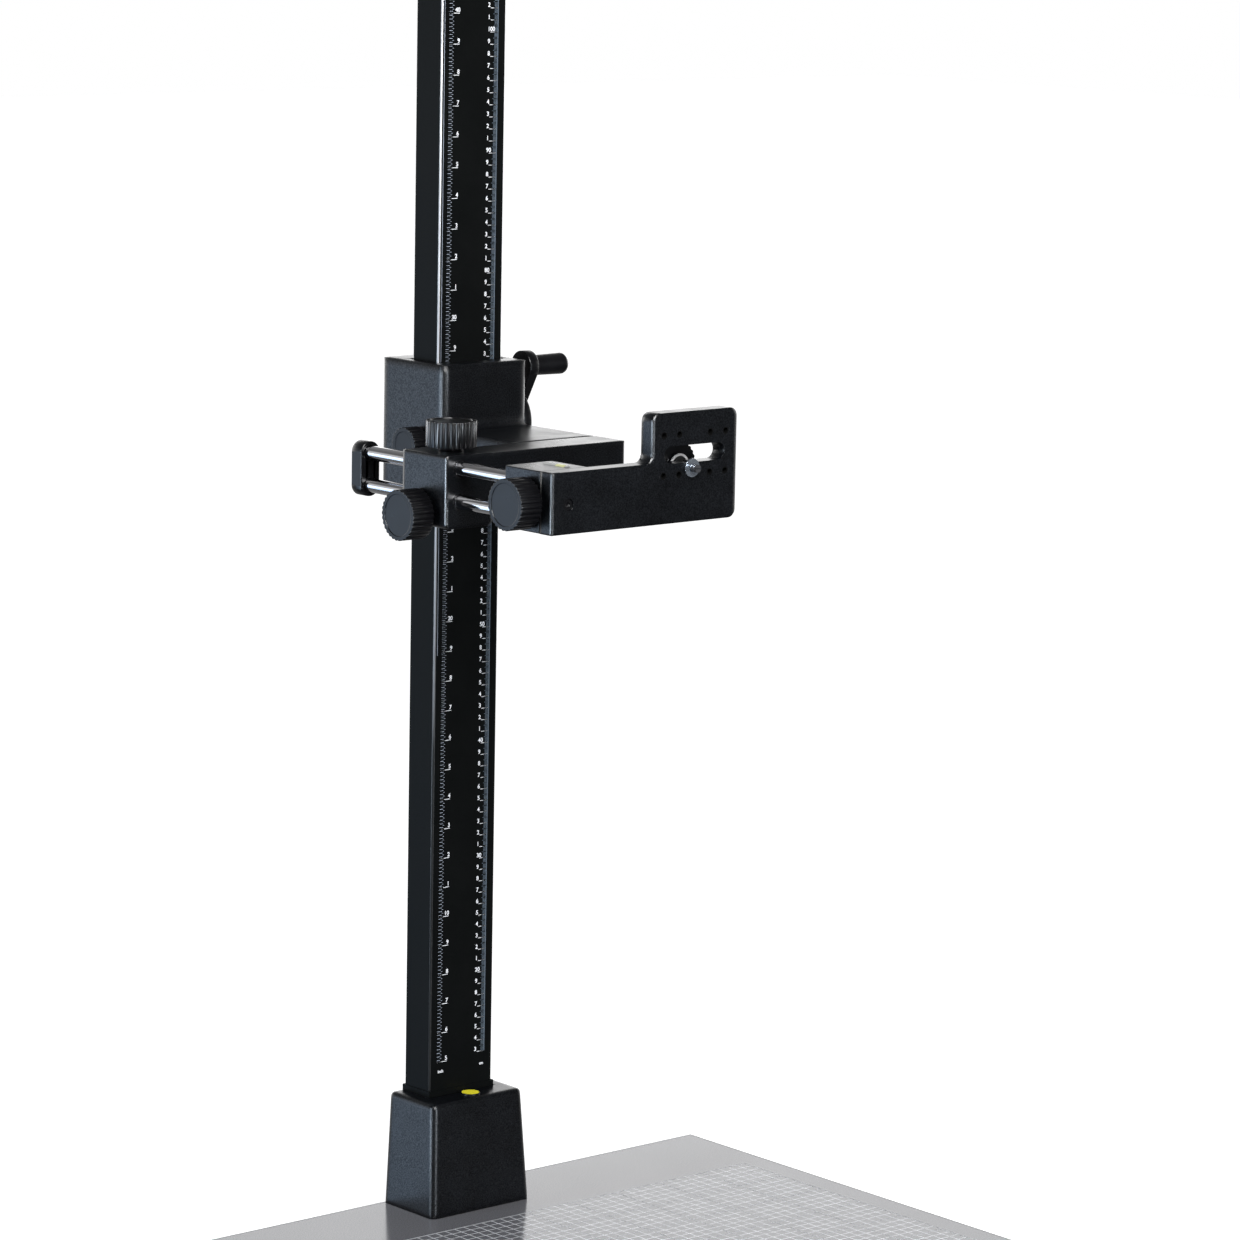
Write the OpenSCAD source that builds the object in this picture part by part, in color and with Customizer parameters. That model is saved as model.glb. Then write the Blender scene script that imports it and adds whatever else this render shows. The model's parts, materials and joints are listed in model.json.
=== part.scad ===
// Copy stand: baseboard, toothed column, cranked carriage, offset camera arm and camera plate.
// Millimetres, Z up. The origin is on the board's top, at the middle of the column's front face.

/* [Baseboard] */
// Width of the board, side to side
board_w = 600; // [450:10:800]
// Depth of the board, front to back
board_d = 500; // [400:10:700]
// Thickness of the board
board_t = 25; // [18:1:40]
// Thickness of the edge banding
band_t = 1.5; // [1:0.5:3]
// Distance from the back of the column to the back edge of the board
back_margin = 3.2; // [3:0.1:12]
// Diameter of the rubber feet
pad_d = 32; // [24:1:45]
// Height of the rubber feet
pad_h = 10; // [8:1:20]
// Distance from the board's edges to the middle of a rubber foot
pad_inset = 45; // [30:1:80]

/* [Column foot] */
// Width of the foot on the board
foot_w = 107; // [104:1:130]
// Width of the foot at its top
foot_top_w = 98; // [94:1:104]
// How far the foot reaches in front of the column, on the board
foot_front = 30.5; // [28:0.5:45]
// How far the foot reaches in front of the column, at its top
foot_top_front = 24.3; // [21:0.1:27]
// Height of the foot
foot_h = 97.5; // [80:0.5:130]
// Thickness of the floor under the column
foot_floor = 10; // [8:1:16]
// Radius of the foot's upright edges
foot_edge_r = 5; // [3:0.5:8]
// Diameter of the yellow disc
disc_d = 16.5; // [12:0.5:18]
// Thickness of the yellow disc
disc_t = 1.2; // [0.8:0.2:2]
// Wall of the sleeve round the column
sleeve_t = 1; // [0.8:0.1:1.8]
// How far the sleeve stands above the foot
sleeve_h = 5; // [3:0.5:10]

/* [Column] */
// Width of the column
col_w = 68.8; // [66:0.1:72]
// Depth of the column
col_d = 34.3; // [34:0.1:38]
// Length of the column
col_len = 1200; // [1000:10:1500]
// Wall of the extrusion
col_wall = 3; // [2:0.1:3.4]
// Radius of the column's edges
col_r = 2.5; // [1:0.5:4]
// Height of the cap on top of the column
cap_h = 6; // [3:1:12]

/* [Rack and pinion] */
// Gear module
gear_m = 1.5; // [1.4:0.05:1.6]
// Teeth of the pinion
pinion_teeth = 10; // [9:1:10]
// Width of the rack
rack_w = 8; // [6:0.5:9]
// Thickness of the rack behind its teeth
rack_t = 3.8; // [3:0.1:4]
// Backlash at the pitch line
backlash = 0.2; // [0.15:0.05:0.4]
// Diameter of the crank shaft
shaft_d = 10; // [8:0.5:11]

/* [Carriage] */
// Height of the carriage's underside above the board
car_z = 614; // [160:1:900]
// Width of the carriage
car_w = 90; // [90:1:100]
// How far the carriage reaches in front of the column
car_front = 21; // [16:1:30]
// How far the carriage reaches behind the column
car_back = 27.7; // [27:0.1:32]
// Height of the carriage
car_h = 113.5; // [110:0.5:140]
// Radius of the carriage's upright edges
car_r = 5; // [3:0.5:8]
// Width of the shelf in front of the carriage
shelf_w = 87; // [80:1:88]
// Length of the shelf
shelf_len = 91; // [80:1:110]
// Height of the shelf's top above the carriage's underside
shelf_up = 59.3; // [58:0.1:64]
// Thickness of the shelf and of the cross bar
shelf_t = 28; // [26:1:34]
// Radius of the guide rollers
roller_r = 9; // [8:0.5:9.5]

/* [Crank] */
// Height of the crank shaft above the carriage's underside
crank_up = 59; // [56:1:64]
// Distance from the shaft to the handle
crank_r = 49.8; // [46:0.2:70]
// Lean of the crank arm in front of upright, in degrees
crank_lean = 19.4; // [0:0.1:40]
// Diameter of the crank's disc
crank_disc_d = 60; // [46:1:64]
// Diameter of the boss at the handle
crank_boss_d = 26; // [22:1:30]
// Thickness of the crank arm
crank_arm_t = 9.5; // [8:0.5:12]
// Diameter of the handle
grip_d = 18; // [16:0.5:22]
// Length of the handle
grip_len = 36; // [28:1:60]

/* [Arm casting] */
// Distance of the rod block's middle from the column's middle
block_off = 120; // [112:1:140]
// Width of the rod block
block_w = 48; // [46:1:54]
// Depth of the rod block, front to back
block_d = 56; // [50:1:64]
// Depth of the cross bar, front to back
bar_d = 38; // [34:1:44]
// How far the cross bar reaches past the column's middle
bar_end = 44; // [43.5:0.5:50]

/* [Rods] */
// Diameter of the rods
rod_d = 12; // [10:0.5:12.5]
// Distance between the rods' axes
rod_gap = 26.6; // [26:0.1:28]
// Distance from the block's top down to the upper rod's axis
rod_down = 10.5; // [9:0.5:12]
// Distance from the block's left face to the rods' axes
rod_in = 14; // [12:0.5:16]
// Free length of the rods behind the block
rod_rear = 60.5; // [40:0.5:100]
// Free length of the rods in front of the block
rod_front = 76; // [50:1:120]
// Thickness of the end cap
end_cap_t = 13.5; // [11:0.5:18]
// Diameter of the friction roller
drive_d = 11.2; // [10:0.2:12]

/* [Camera plate] */
// Thickness of the plate
plate_t = 14; // [12:0.5:18]
// Height of the plate's low part
plate_low_h = 49; // [46:1:52]
// Height of the plate's raised part
plate_h = 88.5; // [86:0.5:100]
// Distance from the column's middle to either side of the raised part
plate_half = 44.2; // [42:0.1:50]
// Radius of the plate's corners
plate_r = 7; // [4:0.5:9]
// Length of the slot, end to end
slot_len = 63.5; // [50:0.5:66]
// Height of the slot
slot_h = 14; // [10:0.5:15]
// Height of the slot's middle above the plate's underside
slot_up = 54.5; // [53:0.5:56]
// Diameter of the small holes
hole_d = 4.5; // [3:0.1:5]
// Distance between the two rows of small holes
hole_rows = 32; // [30:0.5:34]
// Spacing of the outer small holes
hole_outer = 65; // [60:0.5:70]
// Spacing of the inner small holes
hole_inner = 32.5; // [28:0.5:40]
// Depth of the head that carries the plate, front to back
head_d = 43.8; // [40:0.1:50]
// How far the head and plate stand to the left of the rod block
head_out = 3; // [0:0.5:6]

/* [Knobs and screws] */
// Diameter of the large knobs
knob_d = 41; // [34:0.5:46]
// Length of the large knobs
knob_h = 21; // [16:1:28]
// Flutes round a large knob
knob_flutes = 30; // [20:1:34]
// Diameter of the height lock knob
lock_d = 31; // [24:0.5:36]
// Length of the height lock knob
lock_h = 15; // [12:1:20]
// Gap between a knob and its casting, filled by a collar
knob_stand = 3.5; // [2:0.5:6]
// Diameter of the knobs' collars
collar_d = 19.6; // [14:0.2:22]
// Diameter of the locking screws and the drive shaft
screw_d = 8; // [6:0.5:8]
// Diameter of the camera screw's thread
camera_screw_d = 6.35; // [6:0.05:7]
// How far the camera screw stands out in front of the plate
camera_screw_out = 8; // [5:0.5:10]
// Distance from the column's middle to the camera screw, to the left
camera_screw_off = 3; // [0:0.5:10]
// How far the camera screw hangs below the slot's middle
camera_screw_drop = 11.5; // [10:0.5:13]

/* [Clearances] */
// Radial clearance of shafts and rods that turn or slide
run_gap = 0.05; // [0.02:0.01:0.1]
// Gap between the glide pads or rollers and the column
glide_gap = 0.15; // [0.1:0.05:0.3]
// Space round the column inside the carriage
passage_gap = 2; // [1.5:0.1:2.5]
// Gap between round surfaces that pass each other
pass_gap = 0.3; // [0.2:0.05:0.5]
// Gap between the camera plate and the head
plate_gap = 0.3; // [0.2:0.05:0.5]
// Radial clearance of screws in their holes
hole_gap = 0.1; // [0.05:0.05:0.3]

/* [Hidden] */
$fn = 48;

// Colours
black_cast = [0.13, 0.13, 0.14];
black_plastic = [0.09, 0.09, 0.1];
steel = [0.75, 0.76, 0.78];
brass = [0.78, 0.62, 0.3];
rubber = [0.06, 0.06, 0.06];

// Fasteners
cover_screw_d = 3;
cover_screw_len = 13;
rack_screw_d = 3;
arm_bolt_d = 6;
arm_bolt_len = 24;
arm_bolt_x = [-28, 0, 28];
pressure_screw_d = 5;
crank_screw_d = 4;
end_screw_d = 4;
pivot_screw_d = 5;
set_screw_d = 6;
// Length of a cutter that passes right through a wall
cutter = 60;

// Board and foot
board_back = col_d + back_margin;
board_front = board_back - board_d;
foot_bolt_x = foot_w / 2 - 9;
foot_bolt_y = [-foot_front / 2, col_d - 12];
foot_bolt_d = 6;
foot_bolt_reach = 40;
bolt_head_h = 5;
bolt_sink = 8;
pad_screw_d = 4;

// Column and its side groove. The rack stands on the groove's back wall
pitch_r = gear_m * pinion_teeth / 2;
tip_r = pitch_r + gear_m;
rack_addendum = 0.57 * gear_m;
rack_dedendum = 1.13 * gear_m;
pinion_y = 14.5;
groove_y0 = pinion_y - tip_r - 0.8;
groove_y1 = pinion_y + pitch_r + rack_dedendum + rack_t;
groove_depth = rack_w + 2;
col_top = foot_floor + col_len;
port_x = -2;
port_y = [8, col_d - 8];
port_r = 3.4;
web_t = 4;
rack_x1 = col_w / 2 - 1.2;
rack_x0 = rack_x1 - rack_w;

// Carriage
car_x = car_w / 2;
car_y0 = -car_front;
car_y1 = col_d + car_back;
car_top = car_z + car_h;
shelf_top = car_z + shelf_up;
shelf_y0 = car_y0 - shelf_len;
crank_z = car_z + crank_up;
passage_x = col_w / 2 + passage_gap;
passage_y0 = -passage_gap;
passage_y1 = col_d + passage_gap;
cover_t = 4;
cavity_x = 30;
cavity_z0 = car_z + 15;
cavity_z1 = car_top - 15;
cover_x = cavity_x + 8;
cover_z0 = cavity_z0 - 8;
cover_z1 = cavity_z1 + 8;
cover_y = car_y1 - cover_t;
frame_t = 3;
frame_x = 26;
roller_y = col_d + glide_gap + roller_r;
frame_y1 = roller_y + roller_r + pass_gap + frame_t;
roller_z = [cavity_z0 + 13, cavity_z1 - 13];
roller_len = 2 * (frame_x - frame_t) - 1;
axle_d = 6;
pad_t = passage_gap - glide_gap;
glide_h = 12;

// Crank
bush_flange_t = 1.5;
disc_x0 = car_x + bush_flange_t + 0.5;
disc_x1 = disc_x0 + 8.5;
arm_x0 = disc_x1 - 2;
arm_x1 = arm_x0 + crank_arm_t;
grip_y = pinion_y - crank_r * sin(crank_lean);
grip_z = crank_z + crank_r * cos(crank_lean);
grip_collar_t = 2;
grip_x0 = arm_x1 + grip_collar_t;
grip_x1 = grip_x0 + grip_len;
grip_axle_d = 7;
grip_head_d = 11;
grip_head_t = 4;

// Rod block, cross bar and rods
block_x0 = -block_off - block_w / 2;
block_x1 = -block_off + block_w / 2;
bar_y0 = shelf_y0 - bar_d;
block_y1 = bar_y0 + block_d;
block_z0 = car_z + 0.5;
rod_x = block_x0 + rod_in;
rod_z1 = shelf_top - rod_down;
rod_z0 = rod_z1 - rod_gap;
rod_z = (rod_z0 + rod_z1) / 2;
rod_sink = 8.5;
rod_grip = 24;
cap_y0 = block_y1 + rod_rear;
cap_half = (rod_gap + 18.4) / 2;
cap_w = 19;
rod_y1 = cap_y0 + rod_sink;
head_y1 = bar_y0 - rod_front;
rod_y0 = head_y1 - rod_grip;

// Friction drive under the lower rod
drive_r = drive_d / 2;
drive_y = block_y1 - block_d / 2 + 3;
drive_z = rod_z0 - rod_d / 2 - pass_gap / 2 - drive_r;
drive_w = 12;
drive_room = 1.4;
drive_bush_d = 13;

// Rod lock: a cotter in an upright bore beside the upper rod
cotter_r = 9;
cotter_x = rod_x + rod_d / 2 + cotter_r - 2;
cotter_y = block_y1 - block_d / 2;
cotter_h = 18;
cotter_top = shelf_top - 5;

// Head and camera plate
head_x0 = block_x0 - head_out;
head_x1 = block_x1 - 3;
head_y0 = head_y1 - head_d;
washer_t = 1;
plate_y1 = head_y0 - plate_gap;
face_gap = 0.05;
washer_d = 30;
plate_y0 = plate_y1 - plate_t;
plate_z0 = rod_z - plate_low_h / 2 + 1.4;
plate_low_top = plate_z0 + plate_low_h;
plate_top = plate_z0 + plate_h;
slot_z = plate_z0 + slot_up;
pivot_d = 10;
pivot_len = 32;
pivot_screw_head_d = 9.5;
tilt_y = (head_y1 + plate_y0) / 2 - 1.7;
camera_screw_z = slot_z - camera_screw_drop;
camera_shank_d = camera_screw_d - 0.8;
ring_d = 15;
ring_t = 1.2;
vial_d = 9;
vial_len = 26;

// Points of an arc from one angle to another
function arc(cx, cy, r, a0, a1, n) = [for (i = [0:n]) [cx + r * cos(a0 + (a1 - a0) * i / n), cy + r * sin(a0 + (a1 - a0) * i / n)]];

module along_x(x, y, z) translate([x, y, z]) rotate([0, 90, 0]) children();
module along_minus_x(x, y, z) translate([x, y, z]) rotate([0, -90, 0]) children();
module along_y(x, y, z) translate([x, y, z]) rotate([-90, 0, 0]) children();
module along_minus_y(x, y, z) translate([x, y, z]) rotate([90, 0, 0]) children();

// A rectangle with round corners of one radius below and another above
module edge_profile(low, high, top_r, bottom_r) {
  polygon(concat(
    arc(low.x + bottom_r, low.y + bottom_r, bottom_r, 180, 270, 6),
    arc(high.x - bottom_r, low.y + bottom_r, bottom_r, 270, 360, 6),
    arc(high.x - top_r, high.y - top_r, top_r, 0, 90, 6),
    arc(low.x + top_r, high.y - top_r, top_r, 90, 180, 6)));
}

// A block from one corner to the other, with rounded upright, top and bottom edges
module soft_block(low, high, r, top_r, bottom_r) {
  intersection() {
    translate([0, 0, low.z]) linear_extrude(high.z - low.z) round_rect([low.x, low.y], [high.x, high.y], r);
    translate([0, high.y, 0]) rotate([90, 0, 0])
      linear_extrude(high.y - low.y) edge_profile([low.x, low.z], [high.x, high.z], top_r, bottom_r);
    translate([low.x, 0, 0]) rotate([90, 0, 90])
      linear_extrude(high.x - low.x) edge_profile([low.y, low.z], [high.y, high.z], top_r, bottom_r);
  }
}

// An upright post with a rounded top edge, for the upper corners of the foot
module round_post(r, h, top_r) {
  rotate_extrude($fn = 32)
    polygon(concat([[0, 0], [r, 0]], arc(r - top_r, h - top_r, top_r, 0, 90, 4), [[0, h]]));
}

module box(low, high) translate(low) cube(high - low);

// A rectangle with round corners
module round_rect(low, high, r) {
  translate([low.x + r, low.y]) square([high.x - low.x - 2 * r, high.y - low.y]);
  translate([low.x, low.y + r]) square([high.x - low.x, high.y - low.y - 2 * r]);
  for (x = [low.x + r, high.x - r])
    for (y = [low.y + r, high.y - r])
      translate([x, y]) circle(r = r);
}

// The outline of a fluted knob
module fluted_disc(d, flutes) {
  flute_r = 0.33 * PI * d / flutes;
  difference() {
    circle(d = d, $fn = 96);
    for (i = [0:flutes - 1])
      rotate(i * 360 / flutes) translate([d / 2 + 0.45 * flute_r, 0]) circle(r = flute_r, $fn = 16);
  }
}

// A knob on +Z: collar, fluted body with a smooth rim at its foot, and a dished face
module knob(d, h, flutes, bore_d, bore_h) {
  difference() {
    union() {
      cylinder(d = collar_d, h = knob_stand + 1);
      translate([0, 0, knob_stand]) linear_extrude(h) fluted_disc(d, flutes);
    }
    translate([0, 0, -1]) cylinder(d = bore_d, h = bore_h + 1);
    translate([0, 0, knob_stand + h - 0.6]) cylinder(d = d - 7, h = 2);
  }
}

// A cap screw on +Z: its head stands on z = 0 and its shank runs down
module cap_screw(d, head_d, head_h, len) {
  difference() {
    union() {
      cylinder(d = head_d, h = head_h);
      translate([0, 0, -len]) cylinder(d = d, h = len + 0.5);
    }
    translate([0, 0, head_h * 0.4]) cylinder(d = d * 0.9, h = head_h, $fn = 6);
  }
}

// BASEBOARD

module pad_places() {
  for (x = [-board_w / 2 + pad_inset, board_w / 2 - pad_inset])
    for (y = [board_front + pad_inset, board_back - pad_inset])
      translate([x, y, -board_t]) children();
}

module foot_bolt_places() {
  for (x = [-foot_bolt_x, foot_bolt_x])
    for (y = foot_bolt_y)
      translate([x, y, -board_t]) children();
}

module column_bolt_places() {
  for (y = port_y)
    translate([port_x, y, -board_t]) children();
}

module baseboard() {
  color([0.66, 0.66, 0.69])
    difference() {
      box([-board_w / 2 + band_t, board_front + band_t, -board_t], [board_w / 2 - band_t, board_back - band_t, 0]);
      pad_places() translate([0, 0, -1]) cylinder(d = pad_screw_d + 2 * hole_gap, h = 13);
      foot_bolt_places() bolt_hole();
      column_bolt_places() bolt_hole();
    }
}

// A hole from below, wide enough at its mouth for the bolt's head
module bolt_hole() {
  translate([0, 0, -1]) cylinder(d = 2 * foot_bolt_d + 1, h = 1 + bolt_sink);
  translate([0, 0, -1]) cylinder(d = foot_bolt_d + 2 * hole_gap, h = board_t + 2);
}

module edge_band() {
  color([0.45, 0.45, 0.47])
    difference() {
      box([-board_w / 2, board_front, -board_t], [board_w / 2, board_back, 0]);
      box([-board_w / 2 + band_t, board_front + band_t, -board_t - 1], [board_w / 2 - band_t, board_back - band_t, 1]);
    }
}

module rubber_feet() {
  color(rubber)
    pad_places()
      difference() {
        translate([0, 0, -pad_h]) cylinder(d1 = pad_d - 4, d2 = pad_d, h = pad_h, $fn = 64);
        translate([0, 0, -pad_h - 1]) cylinder(d = 2 * pad_screw_d + 1, h = pad_h - 2);
        translate([0, 0, -pad_h]) cylinder(d = pad_screw_d + 2 * hole_gap, h = pad_h + 1);
      }
}

module rubber_feet_screws() {
  color(steel)
    pad_places()
      translate([0, 0, -3]) mirror([0, 0, 1]) cap_screw(pad_screw_d, 2 * pad_screw_d, 3, 14);
}

// COLUMN FOOT

module column_foot() {
  top_z = foot_h;
  color(black_cast)
    difference() {
      hull() {
        for (x = [-1, 1]) {
          for (y = [-foot_front + foot_edge_r, board_back - foot_edge_r])
            translate([x * (foot_w / 2 - foot_edge_r), y, 0]) cylinder(r = foot_edge_r, h = 3, $fn = 32);
          for (y = [-foot_top_front + foot_edge_r, board_back - 0.4 - foot_edge_r])
            translate([x * (foot_top_w / 2 - foot_edge_r), y, top_z - 12]) round_post(foot_edge_r, 12, 3.5);
        }
      }
      // Socket of the column and its sleeve
      box([-col_w / 2 - hole_gap, -hole_gap, foot_floor], [col_w / 2 + hole_gap, col_d + hole_gap, top_z + 1]);
      box([-col_w / 2 - sleeve_t - hole_gap, -sleeve_t - hole_gap, top_z - 10],
          [col_w / 2 + sleeve_t + hole_gap, col_d + sleeve_t + hole_gap, top_z + 1]);
      // Hollow in front of the socket, open below
      box([-col_w / 2 + 4, -foot_top_front + 6, -1], [col_w / 2 - 4, -6, top_z - 16]);
      for (x = [-foot_bolt_x, foot_bolt_x])
        for (y = foot_bolt_y)
          translate([x, y, -1]) cylinder(d = foot_bolt_d + 2 * hole_gap, h = foot_bolt_reach - board_t + bolt_sink + 2);
      for (y = port_y)
        translate([port_x, y, -1]) cylinder(d = foot_bolt_d + 2 * hole_gap, h = foot_floor + 2);
    }
}

module foot_bolts() {
  color(steel)
    foot_bolt_places()
      translate([0, 0, bolt_sink]) mirror([0, 0, 1]) cap_screw(foot_bolt_d, 2 * foot_bolt_d, bolt_head_h, foot_bolt_reach - 1);
}

module column_bolts() {
  color(steel)
    column_bolt_places()
      translate([0, 0, bolt_sink]) mirror([0, 0, 1]) cap_screw(foot_bolt_d, 2 * foot_bolt_d, bolt_head_h, board_t - bolt_sink + foot_floor + 22);
}

module column_sleeve() {
  color(black_plastic)
    translate([0, 0, foot_h - 10])
      linear_extrude(10 + sleeve_h)
        difference() {
          translate([-col_w / 2 - sleeve_t, -sleeve_t]) square([col_w + 2 * sleeve_t, col_d + 2 * sleeve_t]);
          translate([-col_w / 2 - 0.02, -0.02]) square([col_w + 0.04, col_d + 0.04]);
        }
}

module yellow_disc() {
  color([0.9, 0.82, 0.1])
    translate([3, -sleeve_t - 0.6 - disc_d / 2, foot_h]) cylinder(d = disc_d, h = disc_t, $fn = 64);
}

// COLUMN

module column_outline() {
  difference() {
    round_rect([-col_w / 2, 0], [col_w / 2, col_d], col_r);
    // Side groove for the rack and the pinion
    translate([col_w / 2 - groove_depth, groove_y0]) square([groove_depth + 1, groove_y1 - groove_y0]);
    // Two chambers with a web between them
    translate([-col_w / 2 + col_wall, col_wall]) square([col_w / 2 - col_wall + port_x - web_t / 2, col_d - 2 * col_wall]);
    translate([port_x + web_t / 2, col_wall]) square([col_w / 2 - groove_depth - col_wall - port_x - web_t / 2, col_d - 2 * col_wall]);
  }
}

module column() {
  color([0.07, 0.07, 0.08])
    translate([0, 0, foot_floor])
      linear_extrude(col_len)
        difference() {
          union() {
            column_outline();
            for (y = port_y) translate([port_x, y]) circle(r = port_r + 2.4);
          }
          for (y = port_y) translate([port_x, y]) circle(r = port_r);
        }
}

module column_cap() {
  plug = 12;
  color(black_plastic)
    translate([0, 0, col_top]) {
      linear_extrude(cap_h) round_rect([-col_w / 2, 0], [col_w / 2, col_d], col_r);
      translate([-col_w / 2 + col_wall + hole_gap, col_wall + hole_gap, -plug])
        cube([col_w / 2 - col_wall + port_x - port_r - 2.8, col_d - 2 * col_wall - 2 * hole_gap, plug + 1]);
    }
}

// RACK AND PINION

rack_z0 = foot_h + 18;
rack_z1 = col_top - 5;
tooth_pitch = PI * gear_m;
// The rack has a gap at the height of the crank shaft
rack_first = ceil((rack_z0 + 4 - crank_z) / tooth_pitch);
rack_last = floor((rack_z1 - 4 - crank_z) / tooth_pitch);

// One rack tooth above a gap: distance from the pitch line, height
function rack_tooth(i) =
  let (mid = crank_z + (i + 0.5) * tooth_pitch)
  let (half = (tooth_pitch / 2 - backlash) / 2)
  let (foot_half = half + rack_dedendum * tan(20))
  let (tip_half = half - rack_addendum * tan(20))
  [[rack_dedendum, mid - foot_half], [-rack_addendum, mid - tip_half], [-rack_addendum, mid + tip_half], [rack_dedendum, mid + foot_half]];

module rack() {
  back = rack_dedendum + rack_t;
  teeth = [for (i = [rack_first:rack_last - 1]) each rack_tooth(i)];
  color(steel)
    difference() {
      translate([rack_x0, 0, 0])
        rotate([90, 0, 90])
          linear_extrude(rack_w)
            translate([pinion_y + pitch_r, 0])
              polygon(concat([[back, rack_z0], [rack_dedendum, rack_z0]], teeth, [[rack_dedendum, rack_z1], [back, rack_z1]]));
      for (z = rack_screw_z) rack_screw_place(z) translate([0, 0, -cutter / 2]) cylinder(d = rack_screw_d + 2 * hole_gap, h = cutter);
    }
}

rack_screw_z = [rack_z0 + 2.2, rack_z1 - 2.2];
module rack_screw_place(z) along_y(rack_x0 + rack_w / 2, groove_y1 - rack_t, z) children();

module rack_screws() {
  color(steel)
    for (z = rack_screw_z)
      rack_screw_place(z) translate([0, 0, -1.4]) {
        cylinder(d = 5, h = 1.4);
        cylinder(d = 3, h = rack_t + 1.4);
      }
}

// Half the angle that a pinion tooth takes up at a radius, in degrees
base_r = pitch_r * cos(20);
function inv(a) = tan(a) * 57.29578 - a;
function tooth_half(r) = (tooth_pitch / 2 - backlash) / 2 / pitch_r * 57.29578 + inv(20) - inv(acos(min(1, base_r / r)));

module pinion_outline() {
  root_r = pitch_r - rack_addendum - 0.3;
  flank = [for (i = [0:4]) base_r + (tip_r - base_r) * i / 4];
  polygon([for (t = [0:pinion_teeth - 1])
    let (mid = 90 + t * 360 / pinion_teeth)
    each concat(
      [root_r * [cos(mid - tooth_half(base_r) - 1), sin(mid - tooth_half(base_r) - 1)]],
      [for (r = flank) r * [cos(mid - tooth_half(r)), sin(mid - tooth_half(r))]],
      [for (i = [4:-1:0]) flank[i] * [cos(mid + tooth_half(flank[i])), sin(mid + tooth_half(flank[i]))]],
      [root_r * [cos(mid + tooth_half(base_r) + 1), sin(mid + tooth_half(base_r) + 1)]])]);
}

module pinion() {
  color(steel)
    translate([rack_x0 + 0.5, pinion_y, crank_z])
      rotate([90, 0, 90])
        rotate(-90)
          linear_extrude(rack_w - 1)
            difference() {
              pinion_outline();
              circle(d = shaft_d - 2);
            }
}

// The shaft steps down where it enters the pinion and the crank
module crank_shaft() {
  color(steel) {
    along_x(rack_x0 + 0.5, pinion_y, crank_z) cylinder(d = shaft_d - 2, h = rack_w - 1);
    along_x(rack_x0 + rack_w - 0.5, pinion_y, crank_z) cylinder(d = shaft_d, h = arm_x1 - 3 - rack_x0 - rack_w + 0.5);
  }
}

module crank_bush() {
  color(brass)
    difference() {
      union() {
        along_x(passage_x + 1, pinion_y, crank_z) cylinder(d = shaft_d + 6, h = car_x - passage_x - 1);
        along_x(car_x, pinion_y, crank_z) cylinder(d = shaft_d + 12, h = bush_flange_t);
      }
      along_x(passage_x - 1, pinion_y, crank_z) cylinder(d = shaft_d + 2 * run_gap, h = 30);
    }
}

// CARRIAGE

module cover_screw_places() {
  for (x = [-cover_x + 4, cover_x - 4])
    for (z = [cover_z0 + 4, cover_z1 - 4])
      along_y(x, car_y1, z) children();
}

module carriage_housing() {
  fillet_r = 6;
  color(black_cast)
    difference() {
      union() {
        soft_block([-car_x, car_y0, car_z], [car_x, car_y1, car_top], car_r, 2, 1);
        // Shelf, with round front corners
        soft_block([-shelf_w / 2, shelf_y0, shelf_top - shelf_t], [shelf_w / 2, car_y0 + 12, shelf_top], 4, 1.5, 1);
        // Hollow fillet between the housing's front and the shelf
        difference() {
          box([-shelf_w / 2 + 2, car_y0 - fillet_r, shelf_top - 1], [shelf_w / 2 - 2, car_y0 + 1, shelf_top + fillet_r]);
          along_x(-car_x, car_y0 - fillet_r, shelf_top + fillet_r) cylinder(r = fillet_r, h = car_w);
        }
      }
      // Passage of the column
      box([-passage_x, passage_y0, car_z - 1], [passage_x, passage_y1, car_top + 1]);
      // Room for the rollers, open at the back, and the seat of the cover
      box([-cavity_x, passage_y1 - 1, cavity_z0], [cavity_x, car_y1 + 1, cavity_z1]);
      box([-cover_x - hole_gap, cover_y, cover_z0 - hole_gap], [cover_x + hole_gap, car_y1 + 1, cover_z1 + hole_gap]);
      cover_screw_places() translate([0, 0, -cover_screw_len - 1]) cylinder(d = cover_screw_d + 2 * hole_gap, h = cutter);
      // Hollow under the shelf
      box([-shelf_w / 2 + 5, shelf_y0 + 8, shelf_top - shelf_t - 1], [shelf_w / 2 - 5, car_y0 - 2, shelf_top - 5]);
      arm_bolt_places() translate([0, 0, -cutter / 2]) cylinder(d = arm_bolt_d + 2 * hole_gap, h = cutter);
      // Bores of the crank bush and the height lock
      along_x(passage_x - 1, pinion_y, crank_z) cylinder(d = shaft_d + 6, h = 30);
      along_minus_x(-passage_x + 1, lock_y, lock_z) cylinder(d = screw_d + 2 * run_gap, h = 30);
      along_minus_x(-passage_x + 1, lock_y, lock_z) cylinder(d = lock_pad_d + 2 * hole_gap, h = 1 + lock_pad_room);
    }
}

module glide_pads() {
  color([0.85, 0.83, 0.76])
    for (z = [car_z + 2, car_top - 2 - glide_h]) {
      // Front and back strips, then side strips
      box([-28, passage_y0, z], [28, passage_y0 + pad_t, z + glide_h]);
      box([-28, passage_y1 - pad_t, z], [28, passage_y1, z + glide_h]);
      box([-passage_x, 5, z], [-passage_x + pad_t, col_d - 5, z + glide_h]);
      box([passage_x - pad_t, groove_y1 + 1, z], [passage_x, col_d - 1, z + glide_h]);
    }
}

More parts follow.
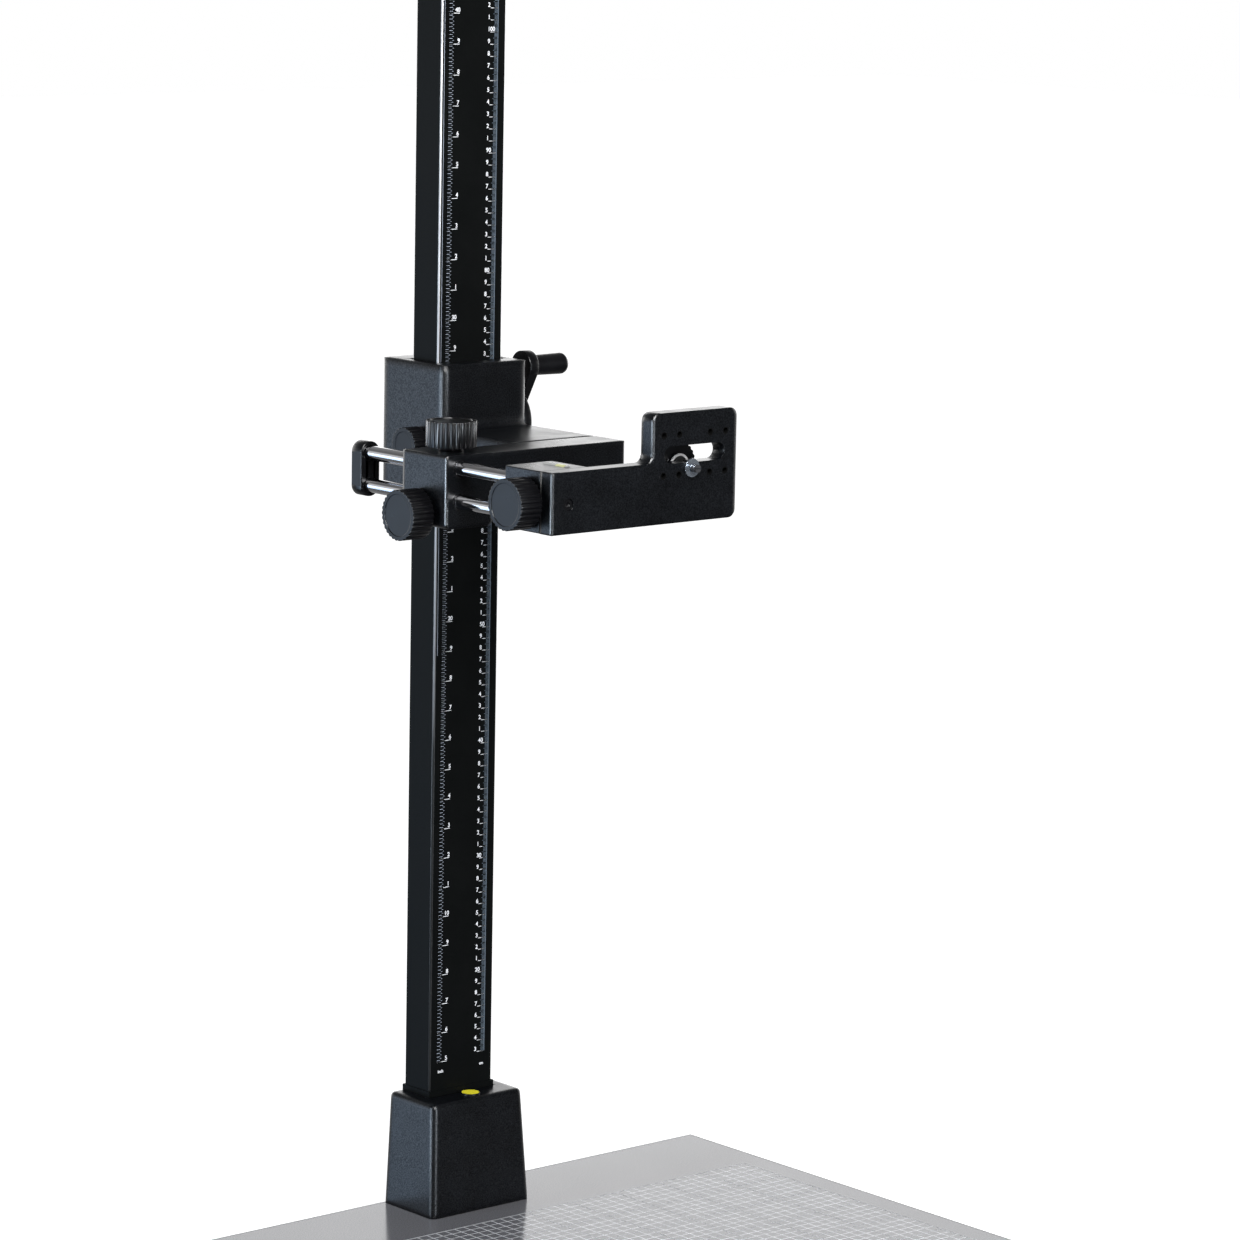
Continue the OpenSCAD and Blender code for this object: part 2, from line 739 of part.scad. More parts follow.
module rear_cover() {
  color(black_cast)
    difference() {
      box([-cover_x, cover_y, cover_z0], [cover_x, car_y1, cover_z1]);
      cover_screw_places() translate([0, 0, -cutter / 2]) cylinder(d = cover_screw_d + 2 * hole_gap, h = cutter);
      pressure_places() translate([0, 0, -cutter / 2]) cylinder(d = pressure_screw_d + 2 * hole_gap, h = cutter);
    }
}

module cover_screws() {
  color(steel)
    cover_screw_places() cap_screw(cover_screw_d, 1.8 * cover_screw_d, 2, cover_screw_len);
}

// ROLLERS behind the column

module roller_frame() {
  color(steel)
    difference() {
      box([-frame_x, col_d + 4, cavity_z0 + 1], [frame_x, frame_y1, cavity_z1 - 1]);
      box([-frame_x + frame_t, col_d + 3, cavity_z0], [frame_x - frame_t, frame_y1 - frame_t, cavity_z1]);
      for (z = roller_z) along_x(-frame_x - 1, roller_y, z) cylinder(d = axle_d + 2 * run_gap, h = 2 * frame_x + 2);
    }
}

module roller_axles() {
  color(steel)
    for (z = roller_z)
      along_x(-frame_x - 1.5, roller_y, z) cylinder(d = axle_d, h = 2 * frame_x + 3);
}

module roller(z) {
  color([0.85, 0.83, 0.76])
    along_x(-roller_len / 2, roller_y, z)
      difference() {
        cylinder(r = roller_r, h = roller_len);
        translate([0, 0, -1]) cylinder(d = axle_d + 2 * run_gap, h = roller_len + 2);
      }
}

module upper_roller() roller(roller_z[1]);
module lower_roller() roller(roller_z[0]);

module pressure_places() {
  for (z = [cavity_z0 + 30, cavity_z1 - 30])
    along_y(0, cover_y, z) children();
}

// Screws through the cover that press the roller frame towards the column
module pressure_screws() {
  color(steel)
    pressure_places()
      difference() {
        translate([0, 0, frame_y1 - cover_y]) cylinder(d = pressure_screw_d, h = cover_y - frame_y1 + cover_t);
        translate([0, 0, cover_t - 2]) cylinder(d = 2.9, h = 3, $fn = 6);
      }
}

// CRANK

module crank_arm() {
  color(black_plastic)
    difference() {
      union() {
        along_x(disc_x0, pinion_y, crank_z) cylinder(d = crank_disc_d, h = disc_x1 - disc_x0, $fn = 96);
        along_x(arm_x0, pinion_y, crank_z) cylinder(d = shaft_d + 12, h = crank_arm_t);
        hull() {
          along_x(arm_x0, grip_y, grip_z) cylinder(d = crank_boss_d, h = crank_arm_t);
          along_x(arm_x0, pinion_y, crank_z) cylinder(d = 10, h = crank_arm_t);
        }
        along_x(arm_x0, grip_y, grip_z) cylinder(d = crank_boss_d, h = crank_arm_t);
        along_x(arm_x1 - 1, grip_y, grip_z) cylinder(d1 = 16, d2 = 14, h = 1 + grip_collar_t - 0.2);
      }
      along_x(disc_x0 - 1, pinion_y, crank_z) cylinder(d = shaft_d, h = arm_x1 - 3 - disc_x0 + 1);
      along_x(disc_x0 - 1, pinion_y, crank_z) cylinder(d = crank_screw_d + 2 * hole_gap, h = cutter);
      along_x(arm_x1 - 2.5, pinion_y, crank_z) cylinder(d = 9, h = 4);
      along_x(arm_x0 - 1, grip_y, grip_z) cylinder(d = grip_axle_d, h = 20);
    }
}

module crank_screw() {
  color(steel)
    along_x(arm_x1 - 2.5, pinion_y, crank_z)
      difference() {
        cylinder(d = 8.6, h = 2.5);
        translate([0, 0, 1]) cylinder(d = 4, h = 3, $fn = 6);
      }
}

module grip_axle() {
  color(steel)
    along_x(arm_x0, grip_y, grip_z) {
      cylinder(d = grip_axle_d, h = grip_x1 - grip_head_t - 2 - arm_x0);
      translate([0, 0, grip_x1 - grip_head_t - 2 - arm_x0]) cylinder(d = grip_head_d, h = grip_head_t);
    }
}

module crank_grip() {
  r0 = grip_d / 2 - 0.5;
  r1 = grip_d / 2;
  edge = 5;
  color(black_plastic)
    difference() {
      along_x(grip_x0, grip_y, grip_z)
        rotate_extrude($fn = 64)
          polygon(concat([[0, 0]], arc(r0 - 1, 1, 1, -90, 0, 3), arc(r1 - edge, grip_len - edge, edge, 0, 90, 6), [[0, grip_len]]));
      along_x(grip_x0 - 1, grip_y, grip_z) cylinder(d = grip_axle_d + 2 * run_gap, h = grip_len + 2);
      along_x(grip_x1 - grip_head_t - 2 - 2 * run_gap, grip_y, grip_z) cylinder(d = grip_head_d + 2 * run_gap, h = 20);
    }
}

// HEIGHT LOCK on the carriage's left side

lock_y = 8;
lock_z = car_z + 45;
lock_pad_d = 12;
lock_pad_room = 4;
// The pad's face stops short of the column, its back bears on the screw
lock_pad_x0 = -passage_x - 3;
lock_pad_x1 = -col_w / 2 - glide_gap;

module height_lock_knob() {
  color(black_plastic)
    along_minus_x(-car_x - 0.1, lock_y, lock_z) knob(lock_d, lock_h, round(knob_flutes * 0.8), screw_d, knob_stand + lock_h - 4);
}

module height_lock_screw() {
  color(steel)
    along_minus_x(lock_pad_x0 - 0.1, lock_y, lock_z) cylinder(d = screw_d, h = car_x + lock_pad_x0 + knob_stand + lock_h - 4);
}

module height_brake_pad() {
  color(brass)
    along_x(lock_pad_x0, lock_y, lock_z) cylinder(d = lock_pad_d, h = lock_pad_x1 - lock_pad_x0);
}

// ARM CASTING: rod block and cross bar

module arm_bolt_places() {
  for (x = arm_bolt_x)
    along_y(x, shelf_y0 + 8, shelf_top - 17) children();
}

module block_outline() {
  // Looking along Y: X to the right, Z up. The lower corners are rounder than the upper ones
  hull() {
    translate([block_x0 + 4, block_z0 + 4]) circle(r = 4);
    translate([block_x1 - 6, block_z0 + 6]) circle(r = 6);
    translate([block_x0 + 1.5, shelf_top - 1.5]) circle(r = 1.5);
    translate([block_x1 - 1.5, shelf_top - 1.5]) circle(r = 1.5);
  }
}

module arm_casting() {
  color(black_cast)
    difference() {
      union() {
        along_minus_y(0, block_y1, 0) linear_extrude(block_d) block_outline();
        soft_block([block_x1 - 12, bar_y0, shelf_top - shelf_t], [bar_end, shelf_y0, shelf_top], 3, 1.5, 1);
      }
      // Hollow under the cross bar, with a boss for each bolt
      difference() {
        box([block_x1 + 6, bar_y0 + 6, shelf_top - shelf_t - 1], [bar_end - 6, shelf_y0 - 6, shelf_top - 5]);
        for (x = arm_bolt_x) box([x - 7, bar_y0, shelf_top - shelf_t - 2], [x + 7, shelf_y0, shelf_top]);
      }
      arm_bolt_places() translate([0, 0, -cutter / 2]) cylinder(d = arm_bolt_d + 2 * hole_gap, h = cutter);
      for (z = [rod_z0, rod_z1])
        along_minus_y(rod_x, block_y1 + 1, z) cylinder(d = rod_d + 2 * run_gap, h = block_d + 2);
      // Friction drive: bores of the bushes, and room for the roller
      along_x(block_x0 - 1, drive_y, drive_z) cylinder(d = drive_bush_d, h = rod_x + drive_w / 2 + 22 - block_x0);
      along_x(rod_x - drive_w / 2 - 1.5, drive_y, drive_z) cylinder(d = drive_d + 2 * drive_room, h = drive_w + 3);
      // Cotter bore and the seat of its bush
      translate([cotter_x, cotter_y, cotter_top - cotter_h - 1]) cylinder(r = cotter_r + hole_gap, h = shelf_top - cotter_top + cotter_h + 2);
    }
}

module arm_bolts() {
  color(steel)
    arm_bolt_places() cap_screw(arm_bolt_d, 10, 6, arm_bolt_len);
}

// RODS

module rod(z) {
  color(steel)
    along_minus_y(rod_x, rod_y1, z)
      difference() {
        cylinder(d = rod_d, h = rod_y1 - rod_y0);
        translate([0, 0, -1]) cylinder(d = 4 + 2 * hole_gap, h = 13);
      }
}

module upper_rod() rod(rod_z1);
module lower_rod() rod(rod_z0);

module rod_end_cap() {
  color(black_plastic)
    difference() {
      along_minus_y(0, cap_y0 + end_cap_t, 0)
        linear_extrude(end_cap_t)
          round_rect([rod_x - cap_w / 2, rod_z - cap_half], [rod_x + cap_w / 2, rod_z + cap_half], cap_w / 2 - 0.6);
      for (z = [rod_z0, rod_z1]) {
        along_y(rod_x, cap_y0 - 1, z) cylinder(d = rod_d + 2 * run_gap, h = rod_sink + 1);
        along_y(rod_x, cap_y0, z) cylinder(d = end_screw_d + 2 * hole_gap, h = end_cap_t + 1);
        along_y(rod_x, cap_y0 + end_cap_t - 2.5, z) cylinder(d = 8.4, h = 4);
      }
    }
}

module end_cap_screws() {
  color(steel)
    for (z = [rod_z0, rod_z1])
      along_y(rod_x, cap_y0 + end_cap_t - 2.5, z) cap_screw(end_screw_d, 8, 2.4, end_cap_t - rod_sink - 2.5 + 11);
}

// Friction drive

module drive_shaft() {
  color(steel)
    along_minus_x(rod_x + drive_w / 2 + 16, drive_y, drive_z)
      cylinder(d = screw_d, h = rod_x + drive_w / 2 + 16 - block_x0 + knob_stand + knob_h - 4);
}

module drive_roller() {
  color(rubber)
    along_x(rod_x - drive_w / 2, drive_y, drive_z)
      difference() {
        cylinder(r = drive_r, h = drive_w);
        translate([0, 0, -1]) cylinder(d = screw_d, h = drive_w + 2);
      }
}

module drive_bushes() {
  left = rod_x - drive_w / 2 - 2 - block_x0;
  color(brass)
    difference() {
      union() {
        along_x(block_x0, drive_y, drive_z) cylinder(d = drive_bush_d, h = left);
        along_x(rod_x + drive_w / 2 + 2, drive_y, drive_z) cylinder(d = drive_bush_d, h = 14);
      }
      along_x(block_x0 - 1, drive_y, drive_z) cylinder(d = screw_d + 2 * run_gap, h = block_w + 2);
    }
}

module drive_knob() {
  color(black_plastic)
    along_minus_x(block_x0 - 0.1, drive_y, drive_z) knob(knob_d, knob_h, knob_flutes, screw_d, knob_stand + knob_h - 4);
}

// Rod lock

module rod_lock_bush() {
  color(black_plastic)
    translate([cotter_x, cotter_y, 0])
      difference() {
        translate([0, 0, cotter_top + 0.5]) cylinder(r = cotter_r, h = shelf_top - cotter_top - 0.5);
        translate([0, 0, cotter_top]) cylinder(d = screw_d + 2 * run_gap, h = 20);
      }
}

module rod_lock_screw() {
  color(steel)
    translate([cotter_x, cotter_y, cotter_top + 0.1]) cylinder(d = screw_d, h = shelf_top - cotter_top + knob_stand + knob_h - 4);
}

module rod_cotter() {
  color(brass)
    difference() {
      translate([cotter_x, cotter_y, cotter_top - cotter_h]) cylinder(r = cotter_r, h = cotter_h);
      along_minus_y(rod_x, block_y1, rod_z1) cylinder(d = rod_d + 2 * pass_gap, h = block_d);
    }
}

module rod_lock_knob() {
  color(black_plastic)
    translate([cotter_x, cotter_y, shelf_top + 0.1]) knob(knob_d, knob_h, knob_flutes, screw_d, knob_stand + knob_h - 4);
}

// HEAD on the rods' front ends

module rod_head() {
  top = plate_low_top;
  color(black_cast)
    difference() {
      soft_block([head_x0, head_y0, plate_z0], [head_x1, head_y1, top], 2, 1, 1);
      for (z = [rod_z0, rod_z1])
        along_minus_y(rod_x, head_y1 + 1, z) cylinder(d = rod_d + 2 * run_gap, h = rod_grip + 1);
      along_y(rod_x, head_y0 - 1, rod_z) cylinder(d = pivot_d + 2 * run_gap, h = pivot_len + 2);
      along_x(head_x0 - 1, tilt_y, rod_z) cylinder(d = screw_d + 2 * run_gap, h = rod_x - head_x0 + 1);
      // Seat of the friction washer, open to the plate
      along_y(rod_x, head_y0 - 1, rod_z) cylinder(d = washer_d + 2 * pass_gap, h = 1 + washer_t - plate_gap + 2 * face_gap);
      // Set screws hold the rods from the right side
      for (z = [rod_z0, rod_z1])
        along_x(rod_x, head_y1 - 12, z) cylinder(d = set_screw_d + 2 * hole_gap, h = head_x1 - rod_x + 1);
      // Seat of the level
      along_minus_y(vial_x, vial_y + 0.2, top - vial_d / 2 + 1.5) cylinder(d = vial_d + 0.2, h = vial_len + 0.4);
    }
}

vial_x = head_x0 + 34;
vial_y = head_y1 - 10;

module level_vial() {
  color([0.85, 0.86, 0.55])
    along_minus_y(vial_x, vial_y, plate_low_top - vial_d / 2 + 1.5) cylinder(d = vial_d, h = vial_len);
}

module rod_set_screws() {
  color(steel)
    for (z = [rod_z0, rod_z1])
      along_x(rod_x + rod_d / 2 + 0.05, head_y1 - 12, z) cylinder(d = set_screw_d, h = 12);
}

module tilt_lock_knob() {
  color(black_plastic)
    along_minus_x(head_x0 - 0.1, tilt_y, rod_z) knob(knob_d, knob_h, knob_flutes, screw_d, knob_stand + knob_h - 4);
}

module tilt_lock_screw() {
  tip = rod_x - pivot_d / 2 - 3.2;
  color(steel)
    along_minus_x(tip, tilt_y, rod_z) cylinder(d = screw_d, h = tip - head_x0 + knob_stand + knob_h - 4);
}

module tilt_brake_pad() {
  color(brass)
    difference() {
      along_x(rod_x - pivot_d / 2 - 3, tilt_y, rod_z) cylinder(d = screw_d - 0.4, h = 4);
      along_y(rod_x, head_y0, rod_z) cylinder(d = pivot_d + 2 * pass_gap, h = pivot_len);
    }
}

// CAMERA PLATE

module plate_outline() {
  // Looking along Y: X to the right, Z up
  right = plate_half;
  left = -plate_half;
  difference() {
    union() {
      round_rect([left, plate_z0], [right, plate_top], plate_r);
      translate([head_x0, plate_z0]) square([right - head_x0 - plate_r - 1, plate_low_h]);
      // Room for the hollow fillet beside the raised part
      translate([left - plate_r, plate_low_top - 1]) square([plate_r + 8, plate_r + 1]);
    }
    translate([left - plate_r, plate_low_top + plate_r]) circle(r = plate_r);
  }
}

// Where the small holes are: distance from the slot's middle, sideways and upwards
module small_hole_places() {
  for (x = [-hole_outer / 2, -hole_inner / 2, hole_inner / 2, hole_outer / 2])
    for (z = [-hole_rows / 2, hole_rows / 2])
      along_minus_y(x, plate_y1 + 1, slot_z + z) children();
}

module slot_outline() {
  hull()
    for (x = [-1, 1])
      translate([x * (slot_len - slot_h) / 2, slot_z]) circle(d = slot_h);
}

module camera_plate() {
  notch_d = camera_screw_d + 2 * 0.25;
  color(black_cast)
    difference() {
      along_minus_y(0, plate_y1, 0) linear_extrude(plate_t) plate_outline();
      small_hole_places() cylinder(d = hole_d, h = plate_t + 2);
      // Slot: two round ends and the stretch between them
      for (x = [-1, 1])
        along_minus_y(x * (slot_len - slot_h) / 2, plate_y1 + 1, slot_z) cylinder(d = slot_h, h = plate_t + 2);
      box([-(slot_len - slot_h) / 2, plate_y0 - 1, slot_z - slot_h / 2], [(slot_len - slot_h) / 2, plate_y1 + 1, slot_z + slot_h / 2]);
      // Notch in the slot's lower edge, where the camera screw rests
      along_minus_y(-camera_screw_off, plate_y1 + 1, camera_screw_z) cylinder(d = notch_d, h = plate_t + 2);
      box([-camera_screw_off - notch_d / 2, plate_y0 - 1, camera_screw_z], [-camera_screw_off + notch_d / 2, plate_y1 + 1, slot_z]);
      // Seat of the pivot screw
      along_y(rod_x, plate_y0 - 1, rod_z) cylinder(d = pivot_screw_head_d + 0.5, h = 5);
      along_y(rod_x, plate_y0 - 1, rod_z) cylinder(d = pivot_screw_d + 2 * hole_gap, h = plate_t + 2);
    }
}

module pivot_pin() {
  color(steel)
    along_y(rod_x, plate_y1, rod_z)
      difference() {
        cylinder(d = pivot_d, h = pivot_len);
        translate([0, 0, -1]) cylinder(d = pivot_screw_d + 2 * hole_gap, h = 16);
      }
}

module pivot_screw() {
  color(black_plastic)
    along_minus_y(rod_x, plate_y0 + 4, rod_z) cap_screw(pivot_screw_d, pivot_screw_head_d, 3, plate_t - 4 + 13);
}

module friction_washer() {
  color([0.85, 0.83, 0.76])
    along_y(rod_x, plate_y1 + face_gap, rod_z)
      difference() {
        cylinder(d = washer_d, h = washer_t);
        translate([0, 0, -1]) cylinder(d = pivot_d + 2 * pass_gap, h = washer_t + 2);
      }
}

// CAMERA SCREW

module camera_screw_knob() {
  color(black_plastic)
    along_y(-camera_screw_off, plate_y1 + washer_t + 0.1, camera_screw_z)
      knob(knob_d, knob_h, knob_flutes, camera_shank_d, knob_stand + knob_h - 4);
}

// Thread in front of the ring, and a thinner shank from the ring to the knob
module camera_screw() {
  len = plate_t + camera_screw_out + washer_t + knob_stand + knob_h - 4;
  slot = 1.2;
  color(steel)
    along_y(-camera_screw_off, plate_y0 - camera_screw_out, camera_screw_z)
      difference() {
        union() {
          cylinder(d = camera_screw_d, h = camera_screw_out - ring_t - 0.4);
          cylinder(d = camera_shank_d, h = len);
        }
        translate([-camera_screw_d, -slot / 2, -1]) cube([2 * camera_screw_d, slot, 2.2]);
      }
}

// The ring in front and the washer behind keep the screw in the plate
module retaining_ring() {
  color(steel)
    along_minus_y(-camera_screw_off, plate_y0 - 0.1, camera_screw_z)
      difference() {
        cylinder(d = ring_d, h = ring_t);
        translate([0, 0, -1]) cylinder(d = camera_shank_d + 2 * run_gap, h = ring_t + 2);
      }
}

module camera_screw_washer() {
  color(steel)
    along_y(-camera_screw_off, plate_y1 + 0.05, camera_screw_z)
      difference() {
        cylinder(d = collar_d, h = washer_t);
        translate([0, 0, -1]) cylinder(d = camera_shank_d + 2 * run_gap, h = washer_t + 2);
      }
}

baseboard();
edge_band();
rubber_feet();
rubber_feet_screws();
column_foot();
foot_bolts();
column_bolts();
column_sleeve();
yellow_disc();
column();
column_cap();
rack();
rack_screws();
carriage_housing();
glide_pads();
rear_cover();
cover_screws();
roller_frame();
roller_axles();
pressure_screws();
upper_roller();
lower_roller();
crank_bush();
crank_shaft();
pinion();
crank_arm();
crank_screw();
grip_axle();
crank_grip();
height_lock_knob();
height_lock_screw();
height_brake_pad();
arm_casting();
arm_bolts();
upper_rod();
lower_rod();
rod_end_cap();
end_cap_screws();
rod_head();
rod_set_screws();
level_vial();
rod_lock_knob();
rod_lock_screw();
rod_lock_bush();
rod_cotter();
drive_knob();
drive_shaft();
drive_roller();
drive_bushes();
camera_plate();
pivot_pin();
pivot_screw();
friction_washer();
tilt_lock_knob();
tilt_lock_screw();
tilt_brake_pad();
camera_screw_knob();
camera_screw();
retaining_ring();
camera_screw_washer();
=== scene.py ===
# %% [markdown]
# A copy stand holds a camera above a flat original. A grey board carries a tall black column,
# and a carriage climbs the column by a crank. An arm on two chromed rods holds the camera plate.
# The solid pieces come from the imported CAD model, so this lesson dresses them: it gives each one a
# finish, rounds the sharp edges, and adds what is printed or too fine for the CAD file.

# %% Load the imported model
import json
import math

import bpy
import bmesh
from mathutils import Matrix, Vector


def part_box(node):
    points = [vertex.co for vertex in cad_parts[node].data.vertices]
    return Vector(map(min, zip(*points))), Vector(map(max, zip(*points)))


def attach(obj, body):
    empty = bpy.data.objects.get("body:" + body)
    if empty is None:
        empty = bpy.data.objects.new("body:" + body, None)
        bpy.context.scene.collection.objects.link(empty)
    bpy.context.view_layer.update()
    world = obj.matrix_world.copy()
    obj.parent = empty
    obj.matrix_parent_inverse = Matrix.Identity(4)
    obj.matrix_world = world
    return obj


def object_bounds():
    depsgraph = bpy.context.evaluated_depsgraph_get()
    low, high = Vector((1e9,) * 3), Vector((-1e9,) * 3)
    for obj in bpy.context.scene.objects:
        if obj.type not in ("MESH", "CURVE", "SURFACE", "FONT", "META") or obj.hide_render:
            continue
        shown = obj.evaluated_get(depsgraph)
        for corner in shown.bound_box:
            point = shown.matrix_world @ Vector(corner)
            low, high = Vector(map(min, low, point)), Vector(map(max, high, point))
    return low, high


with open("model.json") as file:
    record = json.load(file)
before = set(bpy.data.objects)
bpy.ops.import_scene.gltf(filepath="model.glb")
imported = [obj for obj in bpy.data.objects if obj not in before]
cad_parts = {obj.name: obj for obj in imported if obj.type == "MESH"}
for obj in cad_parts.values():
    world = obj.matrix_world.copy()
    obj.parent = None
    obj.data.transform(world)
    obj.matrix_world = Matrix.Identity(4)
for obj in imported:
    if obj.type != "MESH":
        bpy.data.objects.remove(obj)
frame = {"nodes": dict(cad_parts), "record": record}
cad_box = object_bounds()
nodes = frame["nodes"]

# %% [markdown]
# Blender works in metres, while a maker thinks of such a stand in millimetres. One small function
# turns millimetres into metres, so every size below can be read off a ruler.

# %% Units and shared sizes
MM = 0.001


def mm(*values):
    """A length or a point in metres, from millimetres."""
    return values[0] * MM if len(values) == 1 else Vector(values) * MM


column_low, column_high = (Vector(corner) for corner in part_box("column"))
plate_low, plate_high = (Vector(corner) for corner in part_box("camera_plate"))
print("column is", round((column_high.z - column_low.z) / MM), "mm long")

# %% [markdown]
# The camera stands in front of the stand and to its left, a little above the arm. It is set as a
# photographer would describe it: a direction, a height angle, a small tilt and a distance, with a
# long lens. The image is square, so the sensor width counts for both ways.

# %% Camera
CAMERA_AZIMUTH = math.radians(-40.908)
CAMERA_HEIGHT_ANGLE = math.radians(9.434)
CAMERA_ROLL = math.radians(1.064)
CAMERA_DISTANCE = 3.9391
CAMERA_AIM_HEIGHT = 0.51004
CAMERA_SIDE_STEP = 0.12938
LENS_MM = 135.55
SENSOR_MM = 36
VIEW_END = 100

backward = Vector((math.sin(CAMERA_AZIMUTH) * math.cos(CAMERA_HEIGHT_ANGLE),
                   -math.cos(CAMERA_AZIMUTH) * math.cos(CAMERA_HEIGHT_ANGLE),
                   math.sin(CAMERA_HEIGHT_ANGLE)))
level_right = Vector((math.cos(CAMERA_AZIMUTH), math.sin(CAMERA_AZIMUTH), 0))
level_up = backward.cross(level_right)
right = math.cos(CAMERA_ROLL) * level_right + math.sin(CAMERA_ROLL) * level_up
up = -math.sin(CAMERA_ROLL) * level_right + math.cos(CAMERA_ROLL) * level_up

camera_data = bpy.data.cameras.new("camera")
camera_data.lens = LENS_MM
camera_data.sensor_width = SENSOR_MM
camera_data.sensor_fit = "HORIZONTAL"
camera_data.clip_end = VIEW_END
camera = bpy.data.objects.new("camera", camera_data)
camera.matrix_world = Matrix((right, up, backward)).transposed().to_4x4()
camera.location = (Vector((0, 0, CAMERA_AIM_HEIGHT)) + backward * CAMERA_DISTANCE
                   + level_right * CAMERA_SIDE_STEP)
bpy.context.scene.collection.objects.link(camera)
bpy.context.scene.camera = camera
print("camera at", [round(v, 3) for v in camera.location])

# %% [markdown]
# A material in Blender is a graph of nodes. Three small helpers keep the graphs short: one adds a
# node with its settings, one adds a link, and one starts a material with its main shader. A Mix
# node keeps two inputs and an output for each kind of value, known apart by their numbers alone.

# %% Node helpers
FACTOR = 0
COLOR_A, COLOR_B, COLOR_OUT = 6, 7, 2
FLOAT_A, FLOAT_B, FLOAT_OUT = 2, 3, 0
VECTOR_A, VECTOR_B, VECTOR_OUT = 4, 5, 1


def add_node(tree, kind, **settings):
    """A node in a tree, with its properties set by name and its inputs by a dictionary."""
    inputs = settings.pop("inputs", {})
    node = tree.nodes.new(kind)
    for name, value in settings.items():
        setattr(node, name, value)
    for name, value in inputs.items():
        node.inputs[name].default_value = value
    return node


def link(tree, source, socket, target, into):
    """A wire from one node's output to another's input, each given by its name or its number."""
    tree.links.new(source.outputs[socket], target.inputs[into])


def start_material(name, color, roughness, metallic=0.0):
    """A new material and its main shader, with plain values on the shader's own sockets."""
    material = bpy.data.materials.new(name)
    material.use_nodes = True
    shader = material.node_tree.nodes["Principled BSDF"]
    shader.inputs["Base Color"].default_value = (*color, 1)
    shader.inputs["Roughness"].default_value = roughness
    shader.inputs["Metallic"].default_value = metallic
    return material, shader


# %% [markdown]
# Two effects return on many finishes. A cast or moulded surface has a fine grain that breaks up
# its gloss, and every handled surface has faint cloudy changes of colour and sheen. Each effect is
# a node group, built once, with inputs for its scale and its strength.

# %% Shader group: grain


def new_group(name, inputs, outputs):
    """An empty shader group with its sockets, and the two nodes that lead in and out of it."""
    group = bpy.data.node_groups.new(name, "ShaderNodeTree")
    for label, kind, value in inputs:
        socket = group.interface.new_socket(label, in_out="INPUT", socket_type=kind)
        if value is not None:
            socket.default_value = value
    for label, kind in outputs:
        group.interface.new_socket(label, in_out="OUTPUT", socket_type=kind)
    entry = group.nodes.new("NodeGroupInput")
    leave = group.nodes.new("NodeGroupOutput")
    return group, entry, leave


grain_group, entry, leave = new_group(
    "grain",
    [("Vector", "NodeSocketVector", None), ("Scale", "NodeSocketFloat", 1800.0),
     ("Depth", "NodeSocketFloat", 0.00002)],
    [("Height", "NodeSocketFloat"), ("Mask", "NodeSocketFloat")])
bumps = add_node(grain_group, "ShaderNodeTexNoise", inputs={"Detail": 3.0, "Roughness": 0.6})
height = add_node(grain_group, "ShaderNodeMath", operation="MULTIPLY")
link(grain_group, entry, "Vector", bumps, "Vector")
link(grain_group, entry, "Scale", bumps, "Scale")
link(grain_group, bumps, "Fac", height, 0)
link(grain_group, entry, "Depth", height, 1)
link(grain_group, height, "Value", leave, "Height")
link(grain_group, bumps, "Fac", leave, "Mask")
print("group grain:", len(grain_group.nodes), "nodes")

# %% [markdown]
# The handling marks are a soft noise, stretched to its full contrast. It blends between two colours
# and between two values of roughness at the same places.

# %% Shader group: handling marks
marks_group, entry, leave = new_group(
    "handling_marks",
    [("Vector", "NodeSocketVector", None), ("Scale", "NodeSocketFloat", 30.0),
     ("Color", "NodeSocketColor", (0.02, 0.02, 0.02, 1)),
     ("Worn Color", "NodeSocketColor", (0.04, 0.04, 0.04, 1)),
     ("Smooth", "NodeSocketFloat", 0.3), ("Rough", "NodeSocketFloat", 0.45)],
    [("Color", "NodeSocketColor"), ("Roughness", "NodeSocketFloat")])
clouds = add_node(marks_group, "ShaderNodeTexNoise", inputs={"Detail": 5.0, "Roughness": 0.65})
spread = add_node(marks_group, "ShaderNodeMapRange", inputs={"From Min": 0.32, "From Max": 0.68})
blend_color = add_node(marks_group, "ShaderNodeMix", data_type="RGBA")
blend_rough = add_node(marks_group, "ShaderNodeMix", data_type="FLOAT")
link(marks_group, entry, "Vector", clouds, "Vector")
link(marks_group, entry, "Scale", clouds, "Scale")
link(marks_group, clouds, "Fac", spread, "Value")
for blend in (blend_color, blend_rough):
    link(marks_group, spread, "Result", blend, FACTOR)
link(marks_group, entry, "Color", blend_color, COLOR_A)
link(marks_group, entry, "Worn Color", blend_color, COLOR_B)
link(marks_group, entry, "Smooth", blend_rough, FLOAT_A)
link(marks_group, entry, "Rough", blend_rough, FLOAT_B)
link(marks_group, blend_color, COLOR_OUT, leave, "Color")
link(marks_group, blend_rough, FLOAT_OUT, leave, "Roughness")
print("group handling_marks:", len(marks_group.nodes), "nodes")

# %% [markdown]
# The upright edges of the stand shine. Their normals point between the side and the front, so the
# product of a normal's X and Y parts finds them: it is zero on every flat face. A third group turns
# that product into a mask.

